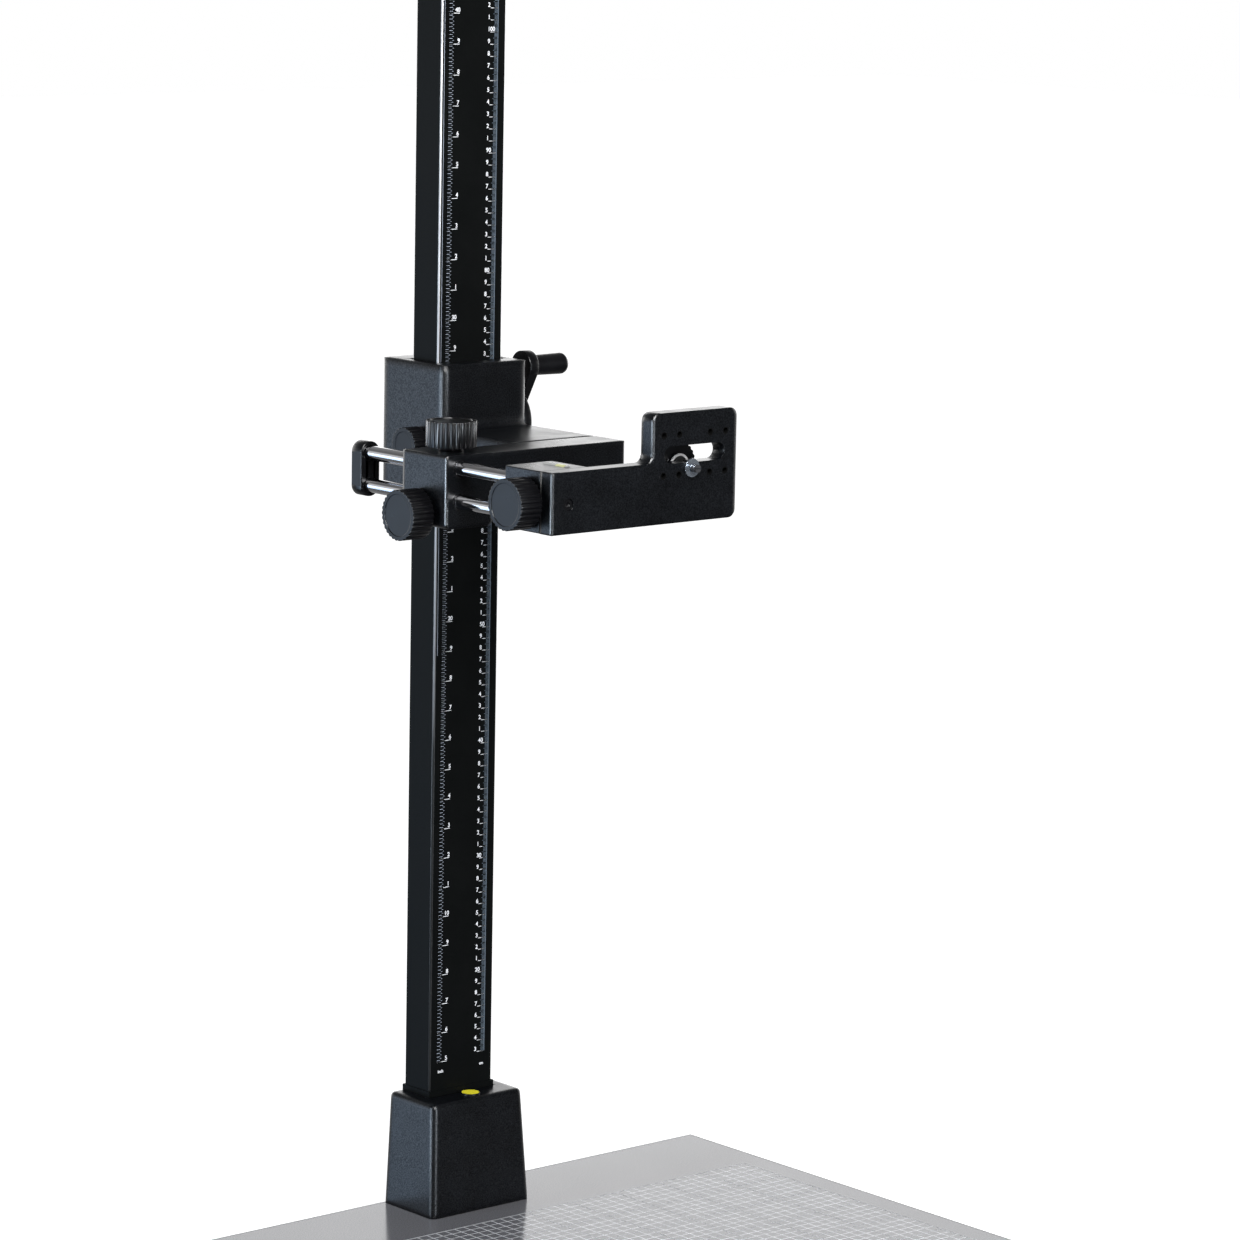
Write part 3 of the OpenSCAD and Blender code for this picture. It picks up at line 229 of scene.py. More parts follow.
# %% Shader group: upright edges
edges_group, entry, leave = new_group(
    "upright_edges",
    [("Normal", "NodeSocketVector", None), ("Low", "NodeSocketFloat", 0.05),
     ("High", "NodeSocketFloat", 0.28)],
    [("Mask", "NodeSocketFloat")])
normal_axes = add_node(edges_group, "ShaderNodeSeparateXYZ")
product = add_node(edges_group, "ShaderNodeMath", operation="MULTIPLY")
size_only = add_node(edges_group, "ShaderNodeMath", operation="ABSOLUTE")
ramp = add_node(edges_group, "ShaderNodeMapRange", interpolation_type="SMOOTHSTEP")
link(edges_group, entry, "Normal", normal_axes, "Vector")
link(edges_group, normal_axes, "X", product, 0)
link(edges_group, normal_axes, "Y", product, 1)
link(edges_group, product, 0, size_only, 0)
link(edges_group, size_only, 0, ramp, "Value")
link(edges_group, entry, "Low", ramp, "From Min")
link(edges_group, entry, "High", ramp, "From Max")
link(edges_group, ramp, "Result", leave, "Mask")
print("group upright_edges:", len(edges_group.nodes), "nodes")

# %% [markdown]
# With the groups at hand, most finishes are one call: a base colour and its slightly worn
# neighbour, a low and a high roughness, and the scale and depth of the grain.

# %% Finish builder
NOISE_LOW = 0.35
NOISE_HIGH = 0.65
EDGE_COAT_ROUGHNESS = 0.16


def finish_material(name, color, worn, smooth, rough, grain=1800.0, depth=0.00002, cloud=30.0,
                    metallic=0.0, stretch=(1, 1, 1), gloss=0.5, edge_mm=0.0, edge_ior=2.0,
                    mottle=0.0):
    """A material with cloudy handling marks and a fine grain, on Object coordinates."""
    material, shader = start_material(name, color, smooth, metallic)
    shader.inputs["Specular IOR Level"].default_value = gloss
    tree = material.node_tree
    place = add_node(tree, "ShaderNodeTexCoord")
    mapping = add_node(tree, "ShaderNodeMapping", inputs={"Scale": stretch})
    marks = add_node(tree, "ShaderNodeGroup", node_tree=marks_group)
    for label, value in (("Scale", cloud), ("Smooth", smooth), ("Rough", rough),
                         ("Color", (*color, 1)), ("Worn Color", (*worn, 1))):
        marks.inputs[label].default_value = value
    texture = add_node(tree, "ShaderNodeGroup", node_tree=grain_group)
    texture.inputs["Scale"].default_value = grain
    texture.inputs["Depth"].default_value = depth
    bump = add_node(tree, "ShaderNodeBump", inputs={"Strength": 1.0, "Distance": 1.0})
    link(tree, place, "Object", mapping, "Vector")
    link(tree, place, "Object", marks, "Vector")
    link(tree, mapping, "Vector", texture, "Vector")
    link(tree, marks, "Color", shader, "Base Color")
    link(tree, marks, "Roughness", shader, "Roughness")
    link(tree, texture, "Height", bump, "Height")
    link(tree, bump, "Normal", shader, "Normal")
    if edge_mm:
        # Shades a sharp edge as if it were round, with a glossy coat, so it catches a line of light
        soft_edge = add_node(tree, "ShaderNodeBevel", samples=8, inputs={"Radius": mm(edge_mm)})
        edges = add_node(tree, "ShaderNodeGroup", node_tree=edges_group)
        shader.inputs["Coat IOR"].default_value = edge_ior
        shader.inputs["Coat Roughness"].default_value = EDGE_COAT_ROUGHNESS
        link(tree, soft_edge, "Normal", bump, "Normal")
        link(tree, soft_edge, "Normal", edges, "Normal")
        link(tree, soft_edge, "Normal", shader, "Coat Normal")
        link(tree, edges, "Mask", shader, "Coat Weight")
    if mottle:
        # The grain changes the gloss from spot to spot: dark metal reflects less than a coating
        shader.inputs["Specular IOR Level"].default_value = gloss * (1 + mottle)
        spots = add_node(tree, "ShaderNodeMapRange", inputs={
            "From Min": NOISE_LOW, "From Max": NOISE_HIGH, "To Max": 2 * mottle / (1 + mottle)})
        link(tree, texture, "Mask", spots, "Value")
        link(tree, spots, "Result", shader, "Metallic")
    return material


# %% [markdown]
# The castings have a fine-textured blue-black coating. The column is smoother, the knobs are
# satin black plastic, and the rods are chromed and almost mirror bright. Machined steel gets a
# grain stretched along one way, which reads as tool marks.

# %% Finishes of metal and plastic


def cast_finish(name, edge_mm, edge_ior=2.0):
    """The coating of the castings, for an edge of the given roundness."""
    return finish_material(name, (0.0025, 0.003, 0.004), (0.004, 0.005, 0.007), 0.26, 0.34,
                           grain=900.0, depth=0.00004, gloss=0.39, edge_mm=edge_mm,
                           edge_ior=edge_ior, mottle=0.5)


cast_black = cast_finish("cast_black", 4.0)
cast_black_wide = cast_finish("cast_black_wide", 10.0, 1.4)
foot_black = cast_finish("foot_black", 6.0, 1.25)
plate_black = cast_finish("plate_black", 4.0, 1.8)
cast_black_sharp = cast_finish("cast_black_sharp", 0.0)
column_black = finish_material("column_black", (0.003, 0.0035, 0.0035), (0.0045, 0.005, 0.005),
                               0.36, 0.44, grain=2500.0, depth=0.000008, cloud=12.0, gloss=0.05)
knob_black = finish_material("knob_black", (0.0025, 0.0025, 0.003), (0.0045, 0.0045, 0.0055),
                             0.27, 0.35, grain=3000.0, depth=0.00001, gloss=0.28, edge_mm=0.6,
                             edge_ior=1.4)
chrome = finish_material("chrome", (0.66, 0.66, 0.68), (0.58, 0.58, 0.60), 0.04, 0.10,
                         grain=900.0, depth=0.000002, metallic=1.0, stretch=(1, 0.05, 1))
zinc = finish_material("zinc", (0.62, 0.68, 0.76), (0.45, 0.50, 0.58), 0.08, 0.18, metallic=0.9)
plain_steel = finish_material("plain_steel", (0.55, 0.55, 0.56), (0.45, 0.45, 0.47), 0.28, 0.40,
                              grain=2400.0, depth=0.000006, metallic=1.0, stretch=(1, 1, 0.1))
dark_steel = finish_material("dark_steel", (0.030, 0.030, 0.033), (0.055, 0.055, 0.058), 0.30, 0.42,
                             grain=2400.0, depth=0.000006)
brass = finish_material("brass", (0.60, 0.42, 0.14), (0.48, 0.33, 0.11), 0.25, 0.40,
                        grain=2400.0, depth=0.000006, metallic=1.0)
glide_plastic = finish_material("glide_plastic", (0.62, 0.60, 0.53), (0.55, 0.53, 0.46), 0.40, 0.55)
rubber = finish_material("rubber", (0.012, 0.012, 0.012), (0.022, 0.022, 0.022), 0.70, 0.85,
                         grain=1200.0, depth=0.00005)
yellow = finish_material("yellow", (0.85, 0.76, 0.035), (0.80, 0.70, 0.03), 0.32, 0.42,
                         grain=3000.0, depth=0.000004)
edging = finish_material("edging", (0.13, 0.13, 0.145), (0.16, 0.16, 0.175), 0.40, 0.50)
white_print = finish_material("white_print", (0.86, 0.87, 0.90), (0.78, 0.79, 0.82), 0.40, 0.50,
                              grain=3000.0, depth=0.000004)
grid_print = finish_material("grid_print", (0.70, 0.71, 0.73), (0.62, 0.63, 0.65), 0.14, 0.19,
                             grain=3000.0, depth=0.000004)
grey_print = finish_material("grey_print", (0.34, 0.38, 0.44), (0.28, 0.31, 0.37), 0.45, 0.60,
                             grain=3000.0, depth=0.000004)
dim_print = finish_material("dim_print", (0.13, 0.17, 0.21), (0.10, 0.13, 0.17), 0.45, 0.60,
                            grain=3000.0, depth=0.000004)
print("finishes so far:", len(bpy.data.materials))

# %% [markdown]
# The column's long round edges get a painted highlight: the colour of bright metal along them.
# Two masks do it: a wide one adds a glossy coat, and a narrow one turns the paint into bright
# metal. The painted highlight fades out towards the foot, between the two heights in millimetres
# given here.

# %% Painted highlight on the column's edges
COAT_FROM, COAT_FULL = 0.15, 0.42
HIGHLIGHT_FROM, HIGHLIGHT_FULL = 0.38, 0.46
HIGHLIGHT_FADE_LOW, HIGHLIGHT_FADE_HIGH = 400, 640
# Painted highlight: the colour of bright metal on the upright edges, fading out lower down
HIGHLIGHT_METAL = (0.85, 0.86, 0.90, 1)
COLUMN_COAT_IOR = 1.68
COLUMN_COAT_ROUGHNESS = 0.4
tree = column_black.node_tree
shader = tree.nodes["Principled BSDF"]
surface = add_node(tree, "ShaderNodeNewGeometry")
glossy_edge = add_node(tree, "ShaderNodeGroup", node_tree=edges_group)
highlight_edge = add_node(tree, "ShaderNodeGroup", node_tree=edges_group)
shader.inputs["Coat IOR"].default_value = COLUMN_COAT_IOR
shader.inputs["Coat Roughness"].default_value = COLUMN_COAT_ROUGHNESS
for edge, low, high in ((glossy_edge, COAT_FROM, COAT_FULL), (highlight_edge, HIGHLIGHT_FROM, HIGHLIGHT_FULL)):
    edge.inputs["Low"].default_value = low
    edge.inputs["High"].default_value = high
    link(tree, surface, "Normal", edge, "Normal")
place = add_node(tree, "ShaderNodeTexCoord")
along = add_node(tree, "ShaderNodeSeparateXYZ")
by_height = add_node(tree, "ShaderNodeMapRange", inputs={
    "From Min": mm(HIGHLIGHT_FADE_LOW), "From Max": mm(HIGHLIGHT_FADE_HIGH)})
painted_highlight = add_node(tree, "ShaderNodeMath", operation="MULTIPLY")
link(tree, place, "Object", along, "Vector")
link(tree, along, "Z", by_height, "Value")
link(tree, by_height, "Result", painted_highlight, 0)
link(tree, highlight_edge, "Mask", painted_highlight, 1)
# Mixes the painted highlight into the base colour
highlight_mix = add_node(tree, "ShaderNodeMix", data_type="RGBA")
highlight_mix.inputs[COLOR_B].default_value = HIGHLIGHT_METAL
link(tree, glossy_edge, "Mask", shader, "Coat Weight")
tree.links.new(shader.inputs["Base Color"].links[0].from_socket, highlight_mix.inputs[COLOR_A])
link(tree, painted_highlight, "Value", shader, "Metallic")
link(tree, painted_highlight, "Value", highlight_mix, FACTOR)
link(tree, highlight_mix, COLOR_OUT, shader, "Base Color")
print("column finish:", len(tree.nodes), "nodes")

# %% [markdown]
# On the camera plate only the long upright edges shine, not the rims of its holes. A constant
# colour ramp along the plate's width switches the soft edge on (1) near the plate's two ends and
# at the left side of its raised part, and off (0) between them.

# %% Edges of the camera plate
SOFT_EDGE_ALONG_X = ((0.0, 1), (0.04, 0), (0.495, 1), (0.575, 0), (0.96, 1))
tree = plate_black.node_tree
soft_edge = next(node for node in tree.nodes if node.bl_idname == "ShaderNodeBevel")
place = add_node(tree, "ShaderNodeTexCoord")
along = add_node(tree, "ShaderNodeSeparateXYZ")
near_edge = add_node(tree, "ShaderNodeValToRGB")
ramp = near_edge.color_ramp
ramp.interpolation = "CONSTANT"
for step in SOFT_EDGE_ALONG_X[1:-1]:
    ramp.elements.new(step[0])
for element, (position, level) in zip(ramp.elements, SOFT_EDGE_ALONG_X):
    element.position = position
    element.color = (level, level, level, 1)
surface = add_node(tree, "ShaderNodeNewGeometry")
chosen = add_node(tree, "ShaderNodeMix", data_type="VECTOR")
share = add_node(tree, "ShaderNodeMapRange", inputs={
    "From Min": plate_low.x, "From Max": plate_high.x})
link(tree, place, "Object", along, "Vector")
link(tree, along, "X", share, "Value")
link(tree, share, "Result", near_edge, "Fac")
targets = [wire.to_socket for wire in soft_edge.outputs["Normal"].links]
link(tree, near_edge, "Color", chosen, FACTOR)
link(tree, surface, "Normal", chosen, VECTOR_A)
link(tree, soft_edge, "Normal", chosen, VECTOR_B)
for target in targets:
    tree.links.new(chosen.outputs[VECTOR_OUT], target)
print("plate finish:", len(tree.nodes), "nodes")

# %% [markdown]
# Two round pieces have a rim of another colour. The distance from the middle of a piece, measured
# across its face, tells the rim from the rest.

# %% Shader group: round rim
rim_group, entry, leave = new_group(
    "round_rim",
    [("Vector", "NodeSocketVector", None), ("Middle", "NodeSocketVector", None),
     ("Across", "NodeSocketVector", None), ("Start", "NodeSocketFloat", 0.005),
     ("End", "NodeSocketFloat", 0.006)],
    [("Mask", "NodeSocketFloat")])
from_middle = add_node(rim_group, "ShaderNodeVectorMath", operation="SUBTRACT")
flatten = add_node(rim_group, "ShaderNodeVectorMath", operation="MULTIPLY")
radius = add_node(rim_group, "ShaderNodeVectorMath", operation="LENGTH")
rim = add_node(rim_group, "ShaderNodeMapRange")
link(rim_group, entry, "Vector", from_middle, 0)
link(rim_group, entry, "Middle", from_middle, 1)
link(rim_group, from_middle, "Vector", flatten, 0)
link(rim_group, entry, "Across", flatten, 1)
link(rim_group, flatten, "Vector", radius, 0)
link(rim_group, radius, "Value", rim, "Value")
link(rim_group, entry, "Start", rim, "From Min")
link(rim_group, entry, "End", rim, "From Max")
link(rim_group, rim, "Result", leave, "Mask")
print("group round_rim:", len(rim_group.nodes), "nodes")

# %% [markdown]
# The group serves two pieces. The disc on the foot gets a dark rim, and the washer behind the plate
# a bright one, which is a painted highlight. A rim's start is a share of the piece's diameter, so
# 0.5 would be its outer edge.

# %% Painted highlight on the washer's rim, and the disc's dark rim
DISC_RIM_START = 0.445
WASHER_HIGHLIGHT_START = 0.40
RIM_BLEND = 0.02


def color_rim(material, node, across, start, rim_color):
    """Gives a round piece's rim its own colour, from a share of its diameter outward."""
    low, high = (Vector(corner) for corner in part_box(node))
    diameter = high.x - low.x
    tree = material.node_tree
    shader = tree.nodes["Principled BSDF"]
    place = add_node(tree, "ShaderNodeTexCoord")
    rim = add_node(tree, "ShaderNodeGroup", node_tree=rim_group)
    for label, value in (("Middle", (low + high) / 2), ("Across", across),
                         ("Start", start * diameter), ("End", (start + RIM_BLEND) * diameter)):
        rim.inputs[label].default_value = value
    mix = add_node(tree, "ShaderNodeMix", data_type="RGBA")
    mix.inputs[COLOR_B].default_value = (*rim_color, 1)
    link(tree, place, "Object", rim, "Vector")
    link(tree, rim, "Mask", mix, FACTOR)
    tree.links.new(shader.inputs["Base Color"].links[0].from_socket, mix.inputs[COLOR_A])
    link(tree, mix, COLOR_OUT, shader, "Base Color")


washer_with_highlight = finish_material("washer_with_highlight", (0.02, 0.02, 0.02), (0.04, 0.04, 0.04), 0.25, 0.35,
                               metallic=0.5)
color_rim(yellow, "yellow_disc", (1, 1, 0), DISC_RIM_START, (0.004, 0.005, 0.007))
# The washer's bright rim is a painted highlight
color_rim(washer_with_highlight, "camera_screw_washer", (1, 0, 1), WASHER_HIGHLIGHT_START, (0.90, 0.88, 0.86))
print("rims ready")

# %% [markdown]
# The board is a grey laminate with a very fine speckle. Two noises of different scale make it: the
# finer one gives the dots, and a slow one, from the handling marks, changes the gloss a little from
# place to place. That satin gloss lets the foot and the column mirror faintly in it.

# %% Finish of the board
BOARD_DARK = (0.095, 0.095, 0.103, 1)
BOARD_LIGHT = (0.155, 0.155, 0.167, 1)
board_grey, shader = start_material("board_grey", (0.14, 0.14, 0.15), 0.16)
shader.inputs["Specular IOR Level"].default_value = 0.46
tree = board_grey.node_tree
place = add_node(tree, "ShaderNodeTexCoord")
speckle = add_node(tree, "ShaderNodeTexNoise", inputs={
    "Scale": 900.0, "Detail": 2.0, "Roughness": 0.7})
dots = add_node(tree, "ShaderNodeMapRange", inputs={"From Min": NOISE_LOW, "From Max": NOISE_HIGH})
board_colors = add_node(tree, "ShaderNodeMix", data_type="RGBA")
board_colors.inputs[COLOR_A].default_value = BOARD_DARK
board_colors.inputs[COLOR_B].default_value = BOARD_LIGHT
marks = add_node(tree, "ShaderNodeGroup", node_tree=marks_group)
for label, value in (("Scale", 6.0), ("Smooth", 0.14), ("Rough", 0.19)):
    marks.inputs[label].default_value = value
link(tree, place, "Object", speckle, "Vector")
link(tree, place, "Object", marks, "Vector")
link(tree, speckle, "Fac", dots, "Value")
link(tree, dots, "Result", board_colors, FACTOR)
link(tree, board_colors, COLOR_OUT, shader, "Base Color")
link(tree, marks, "Roughness", shader, "Roughness")
print("board finish ready")

# %% [markdown]
# A spirit level is a clear tube with a pale green-yellow fluid. At this size it reads as a glossy
# translucent rod, so some transmission with a coloured base is enough. The fluid shows near the
# tube's front end only, and the rest is painted light grey: a painted reflection, like the sheen on
# the black top of its holder. Both places are shares of the tube's length.

# %% Finish of the level
FLUID_COLOR = (0.85, 0.85, 0.45)
HOLDER_REFLECTION_GREY = (0.55, 0.55, 0.53)
FLUID_MIDDLE = 0.22
FLUID_REACH = 0.20
REFLECTION_START = 0.22
fluid, shader = start_material("fluid", FLUID_COLOR, 0.08)
shader.inputs["Transmission Weight"].default_value = 0.35
shader.inputs["IOR"].default_value = 1.49
tree = fluid.node_tree
place = add_node(tree, "ShaderNodeTexCoord")
along = add_node(tree, "ShaderNodeSeparateXYZ")
level_low, level_high = (Vector(corner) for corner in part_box("level_vial"))
level_length = level_high.y - level_low.y
from_middle = add_node(tree, "ShaderNodeMath", operation="SUBTRACT")
from_middle.inputs[1].default_value = level_low.y + FLUID_MIDDLE * level_length
distance = add_node(tree, "ShaderNodeMath", operation="ABSOLUTE")
holder_reflection = add_node(tree, "ShaderNodeMapRange", inputs={
    "From Min": FLUID_REACH * level_length, "From Max": REFLECTION_START * level_length})
level_colors = add_node(tree, "ShaderNodeMix", data_type="RGBA")
level_colors.inputs[COLOR_A].default_value = (*FLUID_COLOR, 1)
# Painted reflection: the light grey on the tube beyond the fluid
level_colors.inputs[COLOR_B].default_value = (*HOLDER_REFLECTION_GREY, 1)
link(tree, place, "Object", along, "Vector")
link(tree, along, "Y", from_middle, 0)
link(tree, from_middle, 0, distance, 0)
link(tree, distance, 0, holder_reflection, "Value")
link(tree, holder_reflection, "Result", level_colors, FACTOR)
link(tree, level_colors, COLOR_OUT, shader, "Base Color")
print("level finish ready")

# %% [markdown]
# Each CAD piece now takes its finish. The first list goes by the material slot that the record
# names for a piece, so a piece that is added later is dressed without another line here. The second
# list holds the few pieces that look different from the rest of their slot.

# %% Dress the CAD pieces
FINISH_OF_SLOT = {
    "board_laminate": board_grey, "edge_band": edging, "cast_black": cast_black,
    "column_black": column_black, "knob_black": knob_black, "bright_steel": chrome,
    "plain_steel": plain_steel, "dark_steel": dark_steel, "brass": brass,
    "glide_plastic": glide_plastic, "rubber": rubber, "yellow": yellow, "level": fluid}
FINISH_OF_NODE = {
    # The camera screw's dark steel shank is painted shade between the ridges of its thread
    "camera_screw": dark_steel, "retaining_ring": zinc, "camera_screw_washer": washer_with_highlight,
    "column_sleeve": column_black, "pivot_screw": knob_black, "rod_head": cast_black_sharp,
    "camera_plate": plate_black, "carriage_housing": cast_black_wide, "column_foot": foot_black}

for part in frame["record"]["subparts"]:
    mesh = nodes[part["node"]].data
    mesh.materials.clear()
    mesh.materials.append(FINISH_OF_NODE.get(part["node"], FINISH_OF_SLOT[part["material_slot"]]))

# %% [markdown]
# Real edges are never razor sharp: a cast edge catches a thin line of light. A Weld modifier joins
# the loose triangles of a CAD mesh, and a Bevel modifier then rounds what is sharper than the
# angle given. The mesh itself stays as it was, since a modifier only changes what is shown.

# %% Round the edges
EDGE_WIDTH_MM = {
    "camera_plate": 0.8, "rod_head": 0.5, "arm_casting": 0.5, "carriage_housing": 0.5,
    "column": 0.35, "rod_end_cap": 0.9, "crank_arm": 0.7, "column_cap": 0.6, "rear_cover": 0.4,
    "baseboard": 0.2,
    "height_lock_knob": 0.35, "rod_lock_knob": 0.35, "drive_knob": 0.35, "tilt_lock_knob": 0.35,
    "camera_screw_knob": 0.35, "retaining_ring": 0.2, "pivot_screw": 0.25, "camera_screw": 0.3}
SHARP_ANGLE = math.radians(38)
JOIN_WITHIN = 0.000001


def round_edges(name, width_mm):
    """Rounds a CAD piece's sharp edges, for the eye only."""
    piece = nodes[name]
    weld = piece.modifiers.new("join_triangles", "WELD")
    weld.merge_threshold = JOIN_WITHIN
    bevel = piece.modifiers.new("soft_edges", "BEVEL")
    bevel.width = mm(width_mm)
    bevel.segments = 2
    bevel.limit_method = "ANGLE"
    bevel.angle_limit = SHARP_ANGLE
    bevel.harden_normals = True
    bevel.use_clamp_overlap = True


for name, width in EDGE_WIDTH_MM.items():
    round_edges(name, width)
print("rounded the edges of", len(EDGE_WIDTH_MM), "pieces")

# %% [markdown]
# The scales on the column and the grid on the board are the same idea: one thin bar, repeated at
# an even step. A Geometry Nodes tree does it: a line of points, a bar on each point, then Realize
# Instances, so that the result is a plain mesh. Its inputs are the count, the first place, the
# step and the bar's size. The end of such a tree is always the same, so a function makes it.

# %% Geometry Nodes: a bar repeated along a line


def new_shape_tree(name, inputs):
    """A tree whose last nodes make a plain mesh in one finish, and what leads in and out of it."""
    tree = bpy.data.node_groups.new(name, "GeometryNodeTree")
    tree.interface.new_socket("Geometry", in_out="OUTPUT", socket_type="NodeSocketGeometry")
    for label, kind in (*inputs, ("Finish", "NodeSocketMaterial")):
        tree.interface.new_socket(label, in_out="INPUT", socket_type=kind)
    entry = tree.nodes.new("NodeGroupInput")
    leave = tree.nodes.new("NodeGroupOutput")
    realize = add_node(tree, "GeometryNodeRealizeInstances")
    paint = add_node(tree, "GeometryNodeSetMaterial")
    link(tree, realize, "Geometry", paint, "Geometry")
    link(tree, entry, "Finish", paint, "Material")
    link(tree, paint, "Geometry", leave, "Geometry")
    return tree, entry, realize


bar_tree, entry, realize = new_shape_tree("repeat_bar", (
    ("Count", "NodeSocketInt"), ("First", "NodeSocketVector"), ("Step", "NodeSocketVector"),
    ("Bar Size", "NodeSocketVector")))
line = add_node(bar_tree, "GeometryNodeMeshLine")
bar = add_node(bar_tree, "GeometryNodeMeshCube")
spread_bars = add_node(bar_tree, "GeometryNodeInstanceOnPoints")
link(bar_tree, entry, "Count", line, "Count")
link(bar_tree, entry, "First", line, "Start Location")
link(bar_tree, entry, "Step", line, "Offset")
link(bar_tree, entry, "Bar Size", bar, "Size")
link(bar_tree, line, "Mesh", spread_bars, "Points")
link(bar_tree, bar, "Mesh", spread_bars, "Instance")
link(bar_tree, spread_bars, "Instances", realize, "Geometry")
print("tree repeat_bar:", len(bar_tree.nodes), "nodes")

# %% [markdown]
# A modifier's inputs are set by each socket's identifier. The evaluated result becomes a mesh of
# its own, and the helper object that carried the modifier is deleted.

# %% Run a tree and join meshes


def run_tree(tree, values):
    """The mesh that a Geometry Nodes tree makes from the given inputs."""
    helper = bpy.data.objects.new("helper", bpy.data.meshes.new("helper"))
    bpy.context.scene.collection.objects.link(helper)
    modifier = helper.modifiers.new("tree", "NODES")
    modifier.node_group = tree
    for item in tree.interface.items_tree:
        if item.in_out == "INPUT" and item.name in values:
            modifier[item.identifier] = values[item.name]
    shown = helper.evaluated_get(bpy.context.evaluated_depsgraph_get())
    mesh = bpy.data.meshes.new_from_object(shown)
    bpy.data.objects.remove(helper)
    return mesh


def join_meshes(name, meshes, finish):
    """One object from several meshes that share a finish, with its place in its mesh."""
    shape = bmesh.new()
    for mesh in meshes:
        shape.from_mesh(mesh)
    bmesh.ops.recalc_face_normals(shape, faces=shape.faces)
    joined = bpy.data.meshes.new(name)
    shape.to_mesh(joined)
    shape.free()
    joined.materials.append(finish)
    piece = bpy.data.objects.new(name, joined)
    bpy.context.scene.collection.objects.link(piece)
    return piece


def bars(count, first, step, size, finish):
    """A row of equal bars, from the middle of its first one."""
    return run_tree(bar_tree, {"Count": count, "First": first, "Step": step, "Bar Size": size,
                               "Finish": finish})


# %% [markdown]
# The column's front has two scales. The centimetre scale hangs from a line near the right edge,
# with a tick for each millimetre, a longer one at five, and the longest at each centimetre. The
# inch scale starts near the left edge, in sixteenths, with a longer tick at each eighth and the
# longest at each inch. A thin grey line up the left edge beside it, from a given height, is a
# painted highlight along the round edge. The print is a film 0.05 mm thick on the column's front
# face, and so is that line. Each kind of tick below has its step in millimetres, or its parts of an
# inch, and then its length and its width. The long ones have the last two only.

# %% Scale ticks
PRINT_THICK = 0.05
TOP_OF_SCALE_CM = 118
FIRST_CM = 13
CM_LINE_X = 24.9
CM_LINE_WIDTH = 0.7
CM_TICKS = ((1, 3.4, 0.4), (5, 4.6, 0.4))
LONG_CM_TICK = (7.6, 0.45)
INCH_LINE_X = -26.4
FIRST_INCH = 5
LAST_INCH = 46
INCH = 25.4
INCH_TICKS = ((16, 3.4, 0.45), (8, 4.8, 0.45))
LONG_INCH_TICK = (10.8, 0.5)
EDGE_HIGHLIGHT_X = -31.2
EDGE_HIGHLIGHT_WIDTH = 0.45
EDGE_HIGHLIGHT_LOW = 480


def tick_rows(line_x, direction, first, step, count, length, width, finish):
    """Ticks that start at a line and reach sideways, at an even step up the column."""
    middle = line_x + direction * length / 2
    return bars(count, mm(middle, -PRINT_THICK / 2, first), mm(0, 0, step),
                mm(length, PRINT_THICK, width), finish)


def upright_line(x, low, high, width, finish):
    """One thin line up the column: printed, or a painted highlight."""
    return bars(1, mm(x, -PRINT_THICK / 2, (low + high) / 2), mm(0, 0, 1),
                mm(width, PRINT_THICK, high - low), finish)


scale_low = FIRST_CM * 10
scale_high = TOP_OF_SCALE_CM * 10
cm_span = TOP_OF_SCALE_CM - FIRST_CM
inch_span = LAST_INCH - FIRST_INCH
first_inch_z = FIRST_INCH * INCH
cm_marks = [tick_rows(CM_LINE_X, -1, scale_low, step, cm_span * 10 // step + 1, length, width,
                      dim_print)
            for step, length, width in CM_TICKS]
inch_marks = [tick_rows(INCH_LINE_X, 1, first_inch_z, INCH / parts, inch_span * parts + 1, length,
                        width, grey_print)
              for parts, length, width in INCH_TICKS]
long_marks = [
    tick_rows(CM_LINE_X, -1, scale_low, 10, cm_span + 1, *LONG_CM_TICK, white_print),
    tick_rows(INCH_LINE_X, 1, first_inch_z, INCH, inch_span + 1, *LONG_INCH_TICK, white_print)]
cm_line = upright_line(CM_LINE_X + CM_LINE_WIDTH / 2, scale_low, scale_high, CM_LINE_WIDTH,
                       dim_print)
# Painted highlight: a thin grey line up beside the column's rounded left edge
edge_highlight = upright_line(EDGE_HIGHLIGHT_X, EDGE_HIGHLIGHT_LOW, column_high.z / MM - 1, EDGE_HIGHLIGHT_WIDTH,
                         grey_print)
fine_ticks = join_meshes("fine_ticks", [*cm_marks, cm_line], dim_print)
inch_ticks_and_highlight = join_meshes("inch_ticks_and_highlight", [*inch_marks, edge_highlight], grey_print)
long_ticks = join_meshes("long_ticks", long_marks, white_print)
tick_faces = 0
for ticks in (fine_ticks, inch_ticks_and_highlight, long_ticks):
    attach(ticks, "base")
    tick_faces += len(ticks.data.polygons)
print("scale ticks:", tick_faces, "faces")

# %% [markdown]
# Every tenth numeral is written in full and the rest show their last digit. Blender's text object
# draws a digit once, it becomes a mesh, and a loop puts copies of that mesh up the column. The
# numbers stand just above their ticks, and each scale has its unit's word below it.

# %% Numerals
DIGIT_HEIGHT = 3.7
UNIT_HEIGHT = 2.6
FONT_SIZE_PER_HEIGHT = 1.38
STROKE_GAIN = 0.12
PRINT_FRONT = -0.06
CM_NUMBER_X = CM_LINE_X - 10.6
CM_NUMBER_LIFT = 0.9
INCH_NUMBER_X = INCH_LINE_X + 11.2
INCH_NUMBER_LIFT = 1.1
UNIT_X = 22.3
CM_WORD_Z = 118.0
INCH_WORD_Z = 117.6


